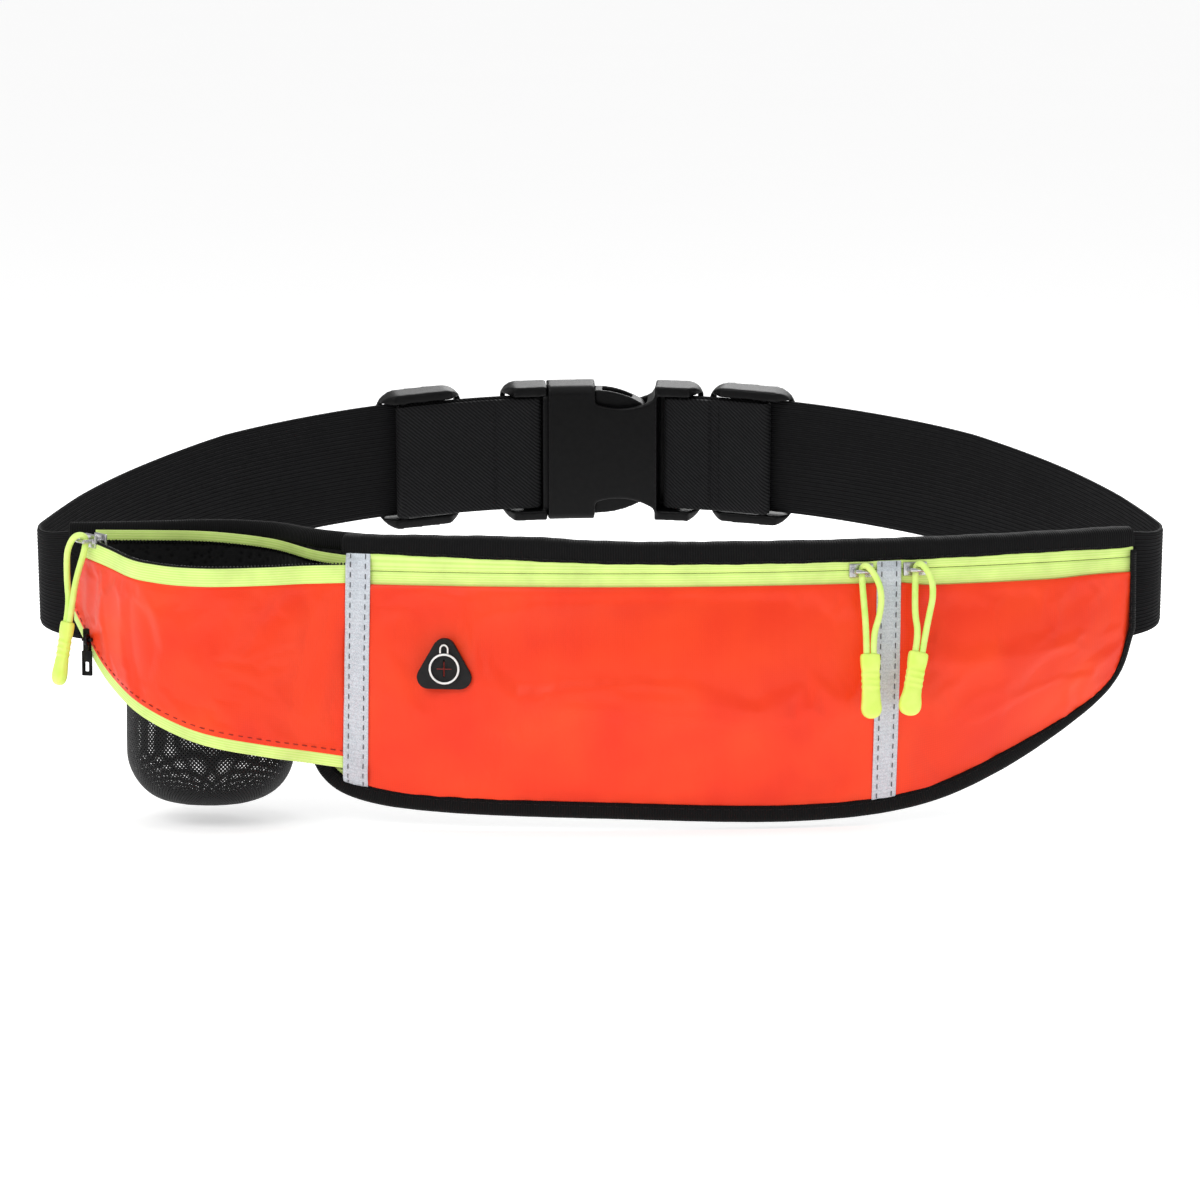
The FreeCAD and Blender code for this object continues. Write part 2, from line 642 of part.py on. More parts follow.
def drop_slider():
    """The small slider on the drop-down zip, with the arch that its tab hangs on."""
    arch = Part.makeCylinder(0.6, 4.0, V(-2.0, -3.5, -3.5), V(1, 0, 0))
    pieces = [box(-2.6, 2.6, -1.3, 1.3, -8.5, 0), arch]
    for x0 in (-2.0, 1.2):
        pieces.append(box(x0, x0 + 0.8, -3.5, -1.2, -4.1, -2.9))
    return union(pieces)


def drop_tab():
    """The flat tab, with a keyhole, that hangs on the small slider's arch."""
    eye = V(0, -3.5, -3.5)
    ring = Part.makeCylinder(2.0, 1.2, V(-0.6, eye.y, eye.z), V(1, 0, 0))
    neck = box(-0.6, 0.6, eye.y - 0.6, eye.y + 0.6, -8.5, eye.z - 1.2)
    keyhole = box(-0.8, 0.8, eye.y - 2, eye.y + 2, -15, -11.5)
    tab = box(-1.9, 1.9, eye.y - 0.6, eye.y + 0.6, -16.5, -7.5).cut(keyhole)
    return union([ring, neck, tab]).cut(Part.makeCylinder(1.0, 4, V(-2, eye.y, eye.z), V(1, 0, 0)))


# ---- the earphone port -------------------------------------------------------

PORT_X, PORT_Z = -53.7, -21.0
PORT_REACH, PORT_ROUND, PORT_T, PORT_PROUD = 6.4, 4.2, 2.6, 1.5


def port():
    """A rubber grommet with three rounded corners and a cross slit."""
    turns = (0, math.tau / 3, 2 * math.tau / 3)
    corners = [V(PORT_REACH * math.sin(a), 0, PORT_REACH * math.cos(a)) for a in turns]
    pieces = [Part.makeCylinder(PORT_ROUND, PORT_T, c, V(0, -1, 0)) for c in corners]
    for a, b in zip(corners, corners[1:] + corners[:1]):
        across = (b - a).normalize()
        out = V(across.z, 0, -across.x) * PORT_ROUND
        pieces.append(polygon([a - out, b - out, b + out, a + out]).extrude(V(0, -PORT_T, 0)))
    pieces.append(polygon(corners).extrude(V(0, -PORT_T, 0)))
    body = union(pieces)
    for a, b in ((3.2, 0.25), (0.25, 3.2)):
        body = body.cut(box(-a, a, -10, 10, -b, b))
    return body


def seated_port(panel):
    """The port turned to face outwards, with its back cut to the panel's curve."""
    bottom_z = height_at(BOTTOM, PORT_X) + BIND - 1.0
    half = (PANEL_TOP_Z - bottom_z) / 2
    rise = (PORT_Z - bottom_z) / (2 * half)
    flat_r = SEAM_R + (PANEL_TOP_R - SEAM_R) * rise
    bulge = bulge_at(PORT_X) * (1 - (2 * rise - 1) ** 2)
    out = port()
    out.translate(V(0, PORT_T - flat_r - bulge - PANEL_T - PORT_PROUD, PORT_Z))
    out.rotate(V(0, 0, 0), V(0, 0, 1), math.degrees(math.asin(PORT_X / FRONT_R)))
    out.translate(V(0, FRONT_CY, 0))
    stations = [PORT_X - 20, PORT_X, PORT_X + 20]
    behind = Part.makeLoft([panel_section(x, -12, PANEL_T) for x in stations], True, False)
    return biggest(out.cut(behind).cut(panel))


def export_body():
    inner, whole = outline_prism(BIND), outline_prism(0)
    panel_end = PACK_HALF - END_BIND
    back_x = LEFT_STRIP_X + 4
    left_of_back = box(-220, back_x - 0.1, -200, 60, -90, 60)
    under_pocket = box(CORNER_X, back_x, -300, 100, -95, 60).cut(drop_prism(-1.5))
    back_arc = front_sector(BACK_IN_R, BACK_OUT_R, CORNER_X, PACK_HALF, -95, TAPE_TOP_Z).common(inner)
    back_corner = back_arc.common(under_pocket)
    back_main = back_arc.common(box(back_x, 200, -300, 100, -95, 60))
    back_left = plan_strip(MOUTH_REAR, 0, 3, -75, REAR_WALL_TOP_Z).common(drop_prism(1.0))
    back_left = back_left.common(left_of_back)
    back = Part.makeCompound([back_main.fuse(back_corner).removeSplitter(), back_left])
    export("back_panel", back)
    main_panel = front_panel([LEFT_STRIP_X, -60, -25, 8, 41, 76, RIGHT_STRIP_X - 0.05])
    export("main_front_panel", main_panel)
    export("right_front_panel", front_panel([RIGHT_STRIP_X, 120, 140, 160, 176, panel_end + 1]))
    export("earphone_port", seated_port(main_panel))
    for side, x, shift in (("left", LEFT_STRIP_X, 0.5), ("right", RIGHT_STRIP_X, -1.4)):
        export(f"{side}_reflective_strip", strip(x))
        export(f"{side}_divider", divider(x + shift))

    below = front_sector(BACK_IN_R - 0.6, SEAM_R + 2.4, CORNER_X, PACK_HALF, -95, -14)
    beside = front_sector(BACK_IN_R - 0.6, PANEL_TOP_R + 2.0, CORNER_X, PACK_HALF, -14, TAPE_TOP_Z - 0.1)
    band = below.fuse(beside).common(whole).cut(inner)
    bottom = band.cut(box(-200, LEFT_STRIP_X + 10, -300, 100, -55, 60)).removeSplitter()
    top = front_sector(BACK_IN_R - 0.6, TAPE_OUT_R, back_x, PACK_HALF, TAPE_TOP_Z, TOP_Z)
    pocket_top = plan_strip(MOUTH_REAR, 0, 3.6, REAR_WALL_TOP_Z + 0.1, REAR_TOP_Z).common(left_of_back)
    export("bottom_binding", bottom)
    export("top_binding", top)
    export("pocket_binding", pocket_top)
    return [back, bottom, top, pocket_top]


def export_zips():
    """Each zip is two tapes with a slit between them and a coil behind each tape's edge."""
    right_end = PACK_HALF - END_BIND - 0.6
    spans = {"main": (LEFT_STRIP_X + 1, RIGHT_STRIP_X - 0.2), "right": (RIGHT_STRIP_X, right_end)}
    for name, (x0, x1) in spans.items():
        upper = front_sector(TAPE_IN_R, TAPE_OUT_R, x0, x1, ZIP_Z + SLIT, TAPE_TOP_Z - 0.05)
        lower = front_sector(TAPE_IN_R, TAPE_OUT_R, x0, x1, PANEL_TOP_Z + 0.05, ZIP_Z - SLIT)
        coils = []
        for z0 in (ZIP_Z + SLIT, ZIP_Z - SLIT - 1.3):
            coils.append(front_sector(COIL_IN_R, TAPE_IN_R, x0 + 2, x1 - 2, z0, z0 + 1.3))
        export(f"{name}_zip_upper_tape", upper)
        export(f"{name}_zip_lower_tape", lower)
        export(f"{name}_zip_coils", Part.makeCompound(coils))


def export_pocket():
    sleeve_solid = sleeve()
    export("bottle_sleeve", sleeve_solid)
    panel = plan_strip(MOUTH_FRONT, -PANEL_T, 0, -70, 30).common(drop_prism(DROP_TAPE))
    panel = panel.common(under(MOUTH_EDGE, 0))
    export("pocket_front_panel", panel)
    lower = plan_strip(MOUTH_FRONT, -PANEL_T, 0, -72, 10).common(drop_prism(0)).cut(drop_prism(DROP_TAPE))
    drop_coil = plan_strip(MOUTH_FRONT, 0.05, 1.0, -72, 10).common(drop_prism(0)).cut(drop_prism(1.3))
    export("drop_zip_tape", lower)
    export("drop_zip_coil", drop_coil.cut(sleeve_solid))
    mouth = plan_strip(MOUTH_FRONT, -0.9, -0.1, 0, 30).common(under(MOUTH_EDGE, MOUTH_TAPE))
    export("pocket_zip_front_tape", mouth.cut(under(MOUTH_EDGE, 0)))
    mouth_coil = plan_strip(MOUTH_FRONT, -0.1, 1.1, 0, 30).common(under(MOUTH_EDGE, MOUTH_TAPE - 0.1))
    export("pocket_zip_front_coil", mouth_coil.cut(under(MOUTH_EDGE, MOUTH_TAPE - 1.4)))
    rear_room = box(-181, LEFT_STRIP_X - 3, -200, 60, -90, 60)
    rear = plan_strip(REAR_TAPE, -0.75, -0.05, 5, 30).common(under(REAR_TAPE_EDGE, REAR_TAPE_W))
    rear = rear.common(rear_room)
    export("pocket_zip_rear_tape", biggest(rear.cut(under(REAR_TAPE_EDGE, 0))))
    export("drop_slider", biggest(place(drop_slider(), DROP_SLIDER_AT).cut(lower).cut(drop_coil).cut(panel)))
    export("drop_slider_tab", place(drop_tab(), DROP_SLIDER_AT))


def export_pulls():
    """name: the slider's station, the grip's sideways shift, its roll, the strand in front, the lean."""
    pulls = {
        "main": (zip_station(MAIN_SLIDER_X), 0.5, 2.0, 1, PULL_LEAN),
        "right": (zip_station(RIGHT_SLIDER_X), -2.0, 14.0, 1, PULL_LEAN),
        "pocket": (POCKET_SLIDER_AT, -0.5, 1.0, -1, POCKET_PULL_LEAN),
    }
    for name, (station, side, roll, hand, lean) in pulls.items():
        export(f"{name}_slider", place(slider(), station))
        export(f"{name}_pull_cord", place_pull(cord_tube(pull_route(side, roll, hand)), station, lean))
        export(f"{name}_pull_grip", place_pull(pull_grip(side, roll), station, lean))


def export_belt(pack_ends):
    for name, side, bar_s in (("right_strap", 1, RIGHT_BAR_M), ("left_strap", -1, -LEFT_BAR_M)):
        sewn = to_world(strap(side, bar_s - 2))
        for piece in pack_ends:
            sewn = sewn.cut(piece)
        export(name, biggest(sewn))
    parts = {
        "left_triglide": triglide(LEFT_GLIDE, LEFT_BAR_M),
        "right_triglide": triglide(RIGHT_GLIDE, RIGHT_BAR_M),
        "left_webbing_loop": webbing_loop(LEFT_BAR_M, LEFT_BAR_BUCKLE),
        "right_webbing_loop": webbing_loop(RIGHT_BAR_BUCKLE, RIGHT_BAR_M),
        "buckle_female": buckle_female(),
        "buckle_male": buckle_male(),
        "upper_release_arm": release_arm(1),
        "lower_release_arm": release_arm(-1),
    }
    for name, shape in parts.items():
        export(name, to_world(shape))


os.makedirs("parts", exist_ok=True)
pack_ends = export_body()
export_zips()
export_pocket()
export_pulls()
export_belt(pack_ends)
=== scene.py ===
"""The running waist pack's looks: cloth, tapes, binding, net, webbing, mouldings and cords."""

import math
from functools import partial

import bmesh
import bpy
from mathutils import Matrix, Vector


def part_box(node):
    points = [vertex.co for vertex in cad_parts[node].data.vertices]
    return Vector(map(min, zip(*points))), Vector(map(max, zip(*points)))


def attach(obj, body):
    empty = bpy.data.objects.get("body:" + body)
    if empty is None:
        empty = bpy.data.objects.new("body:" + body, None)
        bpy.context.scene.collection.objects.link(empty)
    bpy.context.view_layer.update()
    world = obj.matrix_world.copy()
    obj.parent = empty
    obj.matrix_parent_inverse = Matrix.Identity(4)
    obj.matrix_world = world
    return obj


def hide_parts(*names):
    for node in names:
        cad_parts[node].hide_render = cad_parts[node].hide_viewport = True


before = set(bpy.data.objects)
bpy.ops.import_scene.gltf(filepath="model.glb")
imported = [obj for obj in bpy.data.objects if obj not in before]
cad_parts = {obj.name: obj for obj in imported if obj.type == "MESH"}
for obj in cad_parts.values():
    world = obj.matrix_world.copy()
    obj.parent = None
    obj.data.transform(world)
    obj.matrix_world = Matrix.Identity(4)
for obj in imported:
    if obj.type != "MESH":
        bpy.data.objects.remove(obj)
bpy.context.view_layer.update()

V = Vector
MM = 0.001

# Driving places, in millimetres, as in the CAD model
FRONT_CY, FRONT_R = 294.5, 400.0
END_Y, PACK_HALF = -58.0, 193.0
ZIP_Z, PANEL_TOP_Z, TAPE_TOP_Z = 12.0, 7.0, 15.0
BACK_IN_R, BACK_OUT_R, SEAM_R = 393.0, 396.0, 396.8
PANEL_R = 402.1  # the front panels' outer face along their top edge
BIND, END_BIND, NARROW_FROM_X = 6.0, 2.4, 140.0  # the bound edge's width, and where it narrows to the right
LEFT_STRIP_X, RIGHT_STRIP_X, STRIP_W = -86.0, 101.6, 8.8
STRIP_BULGE, MAIN_BULGE, RIGHT_BULGE = 5.0, 9.0, 4.5
BOTTLE_X, BOTTLE_Y, SLEEVE_R = -139.0, END_Y - 22.0, 29.9
BELT_R, BELT_CV, TILT = 220.387, -66.1276, math.radians(13.4957)
BELT_HALF_W = 22.5
# outlines seen from the front, as (x, z), and the pocket's walls seen from above, as (x, distance behind END_Y)
BOTTOM = [(-106, -47.0), (-99, -62.8), (-85, -70.8), (-56, -74.4), (5, -76.2), (70, -78.0), (112, -74.3)]
BOTTOM += [(142.5, -63.5), (172, -45.8), (187, -31.7), (PACK_HALF, -14.0)]
MOUTH_FRONT = [(-188, -3.0), (-173, -28.5), (-160, -46.5), (-139, -54.2), (-118, -49.5), (-104, -43.5)]
MOUTH_FRONT += [(-86, -39.2)]
MOUTH_REAR = [(-191, 1.5), (-178, 2.8), (-160, 6.0), (-139, 10.4), (-118, 2.6), (-101, -19.0), (-82, -34.6)]
DROP_EDGE = [(-190, -8.0), (-173, -31.0), (-147, -45.5), (-116, -53.5), (-82, -60.0)]
MOUTH_EDGE = [(-192, 14.6), (-181, 13.1), (-174, 12.0), (-166, 10.3), (-158, 9.4), (-140, 8.5), (-80, 8.0)]
REAR_TAPE_EDGE = [(-190, 18.0), (-172, 17.6), (-150, 16.8), (-118, 14.6), (-99, 12.8), (-80, 12.2)]
DROP_TAPE, MOUTH_TAPE, REAR_TAPE_W, REAR_WALL_TOP_Z = 4.6, 6.2, 3.8, 18.0
# the top binding's lower edge and its crest
LIP_EDGE = [(-94, 18.0), (-71, 17.5), (-31, 16.2), (2, 15.0), (35, 14.6), (71, 14.5), (124, 14.8)]
LIP_EDGE += [(159, 15.2), (195, 14.9)]
CREST_EDGE = [(-94, 24.6), (-31, 24.8), (2, 23.3), (35, 22.9), (124, 22.8), (195, 23.0)]


# ---- lines and surfaces -----------------------------------------------------


def lengths(points):
    out = [0.0]
    for a, b in zip(points, points[1:]):
        out.append(out[-1] + (b - a).length)
    return out


def mix(a, b, t):
    return a + (b - a) * t


def ease(t):
    t = min(1.0, max(0.0, t))
    return t * t * (3 - 2 * t)


def steps(a, b, count):
    return [mix(a, b, i / (count - 1)) for i in range(count)]


def resample(line, count):
    """Evenly spaced points along a line of points."""
    along = lengths(line)
    out, k = [], 0
    for i in range(count):
        target = along[-1] * i / (count - 1)
        while k < len(line) - 2 and along[k + 1] < target:
            k += 1
        span = along[k + 1] - along[k]
        out.append(line[k].lerp(line[k + 1], (target - along[k]) / span if span else 0.0))
    return out


def smooth_line(points, count):
    """Evenly spaced points on a smooth line through a few points."""
    line = []
    padded = [points[0] * 2 - points[1]] + list(points) + [points[-1] * 2 - points[-2]]
    for a, b, c, d in zip(padded, padded[1:], padded[2:], padded[3:]):
        for step in range(24):
            t = step / 24
            bend = (2 * a - 5 * b + 4 * c - d) * t * t + (3 * b - a - 3 * c + d) * t**3
            line.append(0.5 * (2 * b + (c - a) * t + bend))
    line.append(points[-1].copy())
    return resample(line, count)


def at_x(line, x):
    """The point of a left-to-right line at x."""
    for a, b in zip(line, line[1:]):
        if x <= b.x:
            return a.lerp(b, (x - a.x) / max(1e-9, b.x - a.x))
    return line[-1].copy()


def sides(line):
    """The level direction square to each point of a plan line, on its front side."""
    out = []
    for i in range(len(line)):
        along = (line[min(i + 1, len(line) - 1)] - line[max(i - 1, 0)]).normalized()
        out.append(V((along.y, -along.x, 0)))
    return out


def front(x, radius, z):
    """A place on an upright arc about the front axis, x along the zip line."""
    angle = math.asin(x / FRONT_R)
    return V((radius * math.sin(angle), FRONT_CY - radius * math.cos(angle), z))


def front_at(x, radius, z):
    """A place on the same arc, at x itself."""
    return V((x, FRONT_CY - math.sqrt(radius * radius - x * x), z))


def belt(s, rho, w):
    """A place on the belt's back: s along it, rho outwards from the wearer, w up its width."""
    angle = s / BELT_R
    radius = BELT_R + rho
    return from_belt_plane(radius * math.sin(angle), BELT_CV + radius * math.cos(angle), w)


def from_belt_plane(u, v, w):
    y = END_Y + v * math.cos(TILT) - w * math.sin(TILT)
    return V((u, y, v * math.sin(TILT) + w * math.cos(TILT)))


def upright_line(points, count=120):
    """A smooth line seen from the front."""
    return smooth_line([V((x, 0, z)) for x, z in points], count)


def plan_wall(points):
    """A wall's plan line, and the direction out of its front face at each point."""
    line = smooth_line([V((x, END_Y + y, 0)) for x, y in points], 160)
    return line, sides(line)


EDGE = upright_line(BOTTOM, 260)
DROP, MOUTH, REAR_MOUTH = upright_line(DROP_EDGE), upright_line(MOUTH_EDGE), upright_line(REAR_TAPE_EDGE)
LIP, CREST = upright_line(LIP_EDGE), upright_line(CREST_EDGE)
FRONT_WALL, REAR_WALL = plan_wall(MOUTH_FRONT), plan_wall(MOUTH_REAR)


def wall_point(wall, share, out, z):
    """A place this share of the way along a wall, out from its face."""
    line, outs = wall
    k = share * (len(line) - 1)
    i = min(len(line) - 2, int(k))
    base = line[i].lerp(line[i + 1], k - i)
    side = outs[i].lerp(outs[i + 1], k - i).normalized()
    return V((base.x + side.x * out, base.y + side.y * out, z))


def wall_x(wall, share):
    return wall_point(wall, share, 0, 0).x


def bind_share(x):
    """The bound edge's width at x, as a share of its full width."""
    return 1 - (1 - END_BIND / BIND) * ease((x - NARROW_FROM_X) / (PACK_HALF - NARROW_FROM_X))


def zip_dip(x):
    """How much lower than its neighbour the right panel's top edge is sewn."""
    return 1.4 * ease((x - 104) / 14) * (1 - 0.6 * ease((x - 160) / 20))


def bulge_at(x):
    """How far a front panel stands out at mid-height."""
    if x <= RIGHT_STRIP_X:
        half = (RIGHT_STRIP_X - LEFT_STRIP_X) / 2
        t = max(0.0, 1 - abs(x - (RIGHT_STRIP_X + LEFT_STRIP_X) / 2) / half)
        return STRIP_BULGE + (MAIN_BULGE - STRIP_BULGE) * math.sin(t * math.pi / 2)
    t = min(1.0, (x - RIGHT_STRIP_X) / (PACK_HALF - RIGHT_STRIP_X))
    return STRIP_BULGE * (1 - t) ** 0.7 + RIGHT_BULGE * math.sin(t * math.pi)


def panel_point(x, t, out=0.0):
    """On a front panel's face: t is 0 along its top edge and 1 along its bottom edge."""
    bottom = at_x(EDGE, min(x, PACK_HALF)).z + BIND * bind_share(x) - 1.0
    radius = mix(PANEL_R, SEAM_R + 1.2, t)
    point = front_at(x, radius, mix(PANEL_TOP_Z - zip_dip(x), bottom, t))
    point.y -= 4 * t * (1 - t) * bulge_at(x) + out
    return point


# ---- building helpers -------------------------------------------------------


def add_object(name, data):
    thing = bpy.data.objects.new(name, data)
    bpy.context.scene.collection.objects.link(thing)
    return thing


def grid(name, rows, closed=False, ring=False):
    """A surface over rows of points, with UVs that measure it in metres. closed joins each row's ends,
    ring joins the last row to the first."""
    count = len(rows[0])
    mesh = bpy.data.meshes.new(name)
    verts = [p * MM for row in rows for p in row]
    spans = count if closed else count - 1
    bands = len(rows) if ring else len(rows) - 1
    faces = []
    for i in range(bands):
        low, high = i * count, (i + 1) % len(rows) * count
        for j in range(spans):
            k = (j + 1) % count
            faces.append((low + j, low + k, high + k, high + j))
    mesh.from_pydata(verts, [], faces)
    middle = list(rows[len(rows) // 2])
    across = lengths(middle + [middle[0]])
    column = [row[count // 2] for row in rows]
    along = lengths(column + [column[0]])
    layer = mesh.uv_layers.new(name="metric")
    loop = 0
    for i in range(bands):
        for j in range(spans):
            for a, b in ((i, j), (i, j + 1), (i + 1, j + 1), (i + 1, j)):
                layer.data[loop].uv = (across[b] * MM, along[a] * MM)
                loop += 1
    mesh.shade_smooth()
    return add_object(name, mesh)


def cap_ends(thing, row_length):
    """Closes the two ends of a swept ring of points."""
    work = bmesh.new()
    work.from_mesh(thing.data)
    work.verts.ensure_lookup_table()
    total = len(work.verts)
    work.faces.new([work.verts[i] for i in range(row_length)])
    work.faces.new([work.verts[total - 1 - i] for i in range(row_length)])
    bmesh.ops.recalc_face_normals(work, faces=work.faces)
    work.to_mesh(thing.data)
    work.free()


def sweep(name, rows):
    """A solid band through rows of points, where each row is one closed cross-section."""
    thing = grid(name, rows, closed=True)
    cap_ends(thing, len(rows[0]))
    return thing


def finish(thing, slot, material, *nodes, body="pack"):
    """Gives a piece its material and body, and hides the CAD nodes that it stands for. slot is not used."""
    thing.data.materials.clear()
    thing.data.materials.append(material)
    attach(thing, body)
    if nodes:
        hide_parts(*nodes)
    return thing


def apply_modifiers(thing):
    graph = bpy.context.evaluated_depsgraph_get()
    mesh = bpy.data.meshes.new_from_object(thing.evaluated_get(graph))
    thing.modifiers.clear()
    thing.data = mesh
    return thing


def thicken(thing, amount, offset=-1.0):
    modifier = thing.modifiers.new("thickness", "SOLIDIFY")
    modifier.thickness = amount * MM
    modifier.offset = offset
    return thing


def subdivide(thing, levels=1):
    modifier = thing.modifiers.new("smooth", "SUBSURF")
    modifier.levels = levels
    modifier.render_levels = levels
    return thing


def moulded(node, voxel, rounds, name):
    """A copy of a CAD node with its sharp edges melted round, as moulded or cast parts have."""
    thing = add_object(name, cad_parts[node].data.copy())
    remesh = thing.modifiers.new("even", "REMESH")
    remesh.mode = "VOXEL"
    remesh.voxel_size = voxel * MM
    melt = thing.modifiers.new("melt", "SMOOTH")
    melt.factor = 0.5
    melt.iterations = rounds
    apply_modifiers(thing)
    thing.data.shade_smooth()
    return thing


def cast(node, voxel, rounds, name, slot, look, body="pack"):
    """A moulded or cast piece in its CAD node's place."""
    finish(moulded(node, voxel, rounds, name), slot, look, node, body=body)


def tube_mesh(name, paths, radius, ring=6):
    """Round threads along many short or long paths, all in one mesh."""
    verts, faces = [], []
    for path in paths:
        base = len(verts)
        last = len(path) - 1
        up = None
        for i, point in enumerate(path):
            along = (path[min(i + 1, last)] - path[max(i - 1, 0)]).normalized()
            if up is None:
                up = along.orthogonal().normalized()
            up = (up - along * up.dot(along)).normalized()
            side = along.cross(up)
            for k in range(ring):
                a = math.tau * k / ring
                verts.append((point + (up * math.cos(a) + side * math.sin(a)) * radius) * MM)
        for i in range(last):
            for k in range(ring):
                n = (k + 1) % ring
                low, high = base + i * ring, base + (i + 1) * ring
                faces.append((low + k, low + n, high + n, high + k))
        faces.append(tuple(base + k for k in reversed(range(ring))))
        faces.append(tuple(base + last * ring + k for k in range(ring)))
    mesh = bpy.data.meshes.new(name)
    mesh.from_pydata(verts, [], faces)
    mesh.shade_smooth()
    return add_object(name, mesh)


def dashes(line, out, pitch, length, lift):
    """Short stitches along a line: each dips into the cloth at its two ends. out points off the cloth."""
    count = int(lengths(line)[-1] / pitch)
    fine = resample(line, count * 16 + 1)
    reach = max(2, round(16 * length / pitch))
    paths = []
    for i in range(count):
        path = []
        for k in range(0, reach + 1, max(1, reach // 4)):
            j = i * 16 + k + 2
            if j >= len(fine):
                break
            rise = lift * math.sin(math.pi * k / reach) - 0.25 * (k in (0, reach))
            path.append(fine[j] + out * rise)
        if len(path) > 2:
            paths.append(path)
    return paths


def sew(name, lines, stitch, thread, ring, slot, look):
    """Rows of stitches on a front face. stitch is (pitch, length, lift), and thread is their radius."""
    paths = []
    for line in lines:
        paths += dashes(line, V((0, -1, 0)), *stitch)
    finish(tube_mesh(name, paths, thread, ring), slot, look)


# ---- materials --------------------------------------------------------------


def srgb(r, g, b):
    def one(c):
        c /= 255
        return c / 12.92 if c <= 0.04045 else ((c + 0.055) / 1.055) ** 2.4

    return (one(r), one(g), one(b), 1.0)


class Look:
    """A procedural material, built up from a few pattern helpers."""

    def __init__(self, name, uv=True):
        self.material = bpy.data.materials.new(name)
        self.material.use_nodes = True
        self.tree = self.material.node_tree
        self.shader = self.tree.nodes["Principled BSDF"]
        source = self.node("ShaderNodeTexCoord")
        self.place = source.outputs["UV" if uv else "Object"]
        self.bump = None

    def node(self, kind, **values):
        out = self.tree.nodes.new(kind)
        for key, value in values.items():
            setattr(out, key, value)
        return out

    def link(self, a, b):
        self.tree.links.new(a, b)

    def set(self, **values):
        names = {"metal": "Metallic", "sheen": "Sheen Weight", "spec": "Specular IOR Level"}
        for key, value in values.items():
            self.shader.inputs[names[key]].default_value = value
        return self

    def math(self, operation, a, b=0.0):
        out = self.node("ShaderNodeMath", operation=operation)
        for socket, value in zip(out.inputs, (a, b)):
            if isinstance(value, (int, float)):
                socket.default_value = value
            else:
                self.link(value, socket)
        return out.outputs[0]

    def axis(self, letter):
        parts = self.node("ShaderNodeSeparateXYZ")
        self.link(self.place, parts.inputs[0])
        return parts.outputs[letter]

    def ridges(self, along, pitch_mm):
        """0 to 1 and back once every pitch."""
        turned = self.math("MULTIPLY", along, math.tau / (pitch_mm * MM))
        wave = self.math("SINE", turned)
        return self.math("ADD", self.math("MULTIPLY", wave, 0.5), 0.5)

    def weave(self, pitch_mm):
        across, along = self.axis("X"), self.axis("Y")
        return self.math("MULTIPLY", self.ridges(across, pitch_mm), self.ridges(along, pitch_mm))

    def twill(self, pitch_mm, slope=1.0):
        slanted = self.math("ADD", self.axis("X"), self.math("MULTIPLY", self.axis("Y"), slope))
        return self.ridges(slanted, pitch_mm)

    def noise(self, size_mm, detail=3.0):
        out = self.node("ShaderNodeTexNoise")
        out.inputs["Scale"].default_value = 1 / (size_mm * MM)
        out.inputs["Detail"].default_value = detail
        self.link(self.place, out.inputs["Vector"])
        return out.outputs["Fac"]

    def cells(self, size_mm, output="Distance"):
        out = self.node("ShaderNodeTexVoronoi")
        out.inputs["Scale"].default_value = 1 / (size_mm * MM)
        self.link(self.place, out.inputs["Vector"])
        return out.outputs[output]

    def between(self, low, high, factor, start=0.0, stop=1.0):
        """A colour from low to high as factor goes from start to stop."""
        ramp = self.node("ShaderNodeValToRGB")
        ramp.color_ramp.elements[0].color = low
        ramp.color_ramp.elements[1].color = high
        ramp.color_ramp.elements[0].position = start
        ramp.color_ramp.elements[1].position = stop
        self.link(factor, ramp.inputs[0])
        return ramp.outputs[0]

    def tint(self, colour, other, share):
        """Multiplies a colour by another pattern."""
        out = self.node("ShaderNodeMix", data_type="RGBA", blend_type="MULTIPLY")
        out.inputs[0].default_value = share
        self.link(colour, out.inputs[6])
        self.link(other, out.inputs[7])
        return out.outputs[2]

    def colour(self, socket):
        self.link(socket, self.shader.inputs["Base Color"])
        return self

    def rough(self, factor, low, high):
        spread = self.node("ShaderNodeMapRange")
        spread.inputs["To Min"].default_value = low
        spread.inputs["To Max"].default_value = high
        self.link(factor, spread.inputs["Value"])
        self.link(spread.outputs[0], self.shader.inputs["Roughness"])
        return self

    def raise_by(self, height, depth_mm):
        """Adds bump of this depth."""
        bump = self.node("ShaderNodeBump")
        bump.inputs["Strength"].default_value = 1.0
        bump.inputs["Distance"].default_value = depth_mm * MM
        self.link(height, bump.inputs["Height"])
        if self.bump is not None:
            self.link(self.bump, bump.inputs["Normal"])
        self.bump = bump.outputs["Normal"]
        self.link(self.bump, self.shader.inputs["Normal"])
        return self


WHITE = (1.0, 1.0, 1.0, 1.0)


def woven_look(name, low, high, pitch, kind, depth, rough, sheen=0.05, slope=1.0, spec=0.15):
    """Cloth whose threads show: ribs, a weave or a twill, slightly uneven in colour."""
    look = Look(name)
    if kind == "weave":
        pattern = look.weave(pitch)
    elif kind == "twill":
        pattern = look.twill(pitch, slope)
    else:
        pattern = look.ridges(look.axis("X" if kind == "ribs along" else "Y"), pitch)
    colour = look.between(srgb(*low), srgb(*high), pattern, 0.1, 0.8)
    uneven = look.between((0.82, 0.82, 0.82, 1.0), WHITE, look.noise(14.0), 0.3, 0.65)
    look.colour(look.tint(colour, uneven, 1.0))
    look.rough(look.noise(3.0), *rough)
    look.raise_by(pattern, depth).raise_by(look.noise(0.5, 2.0), depth * 0.6)
    look.set(sheen=sheen, spec=spec)
    return look.material


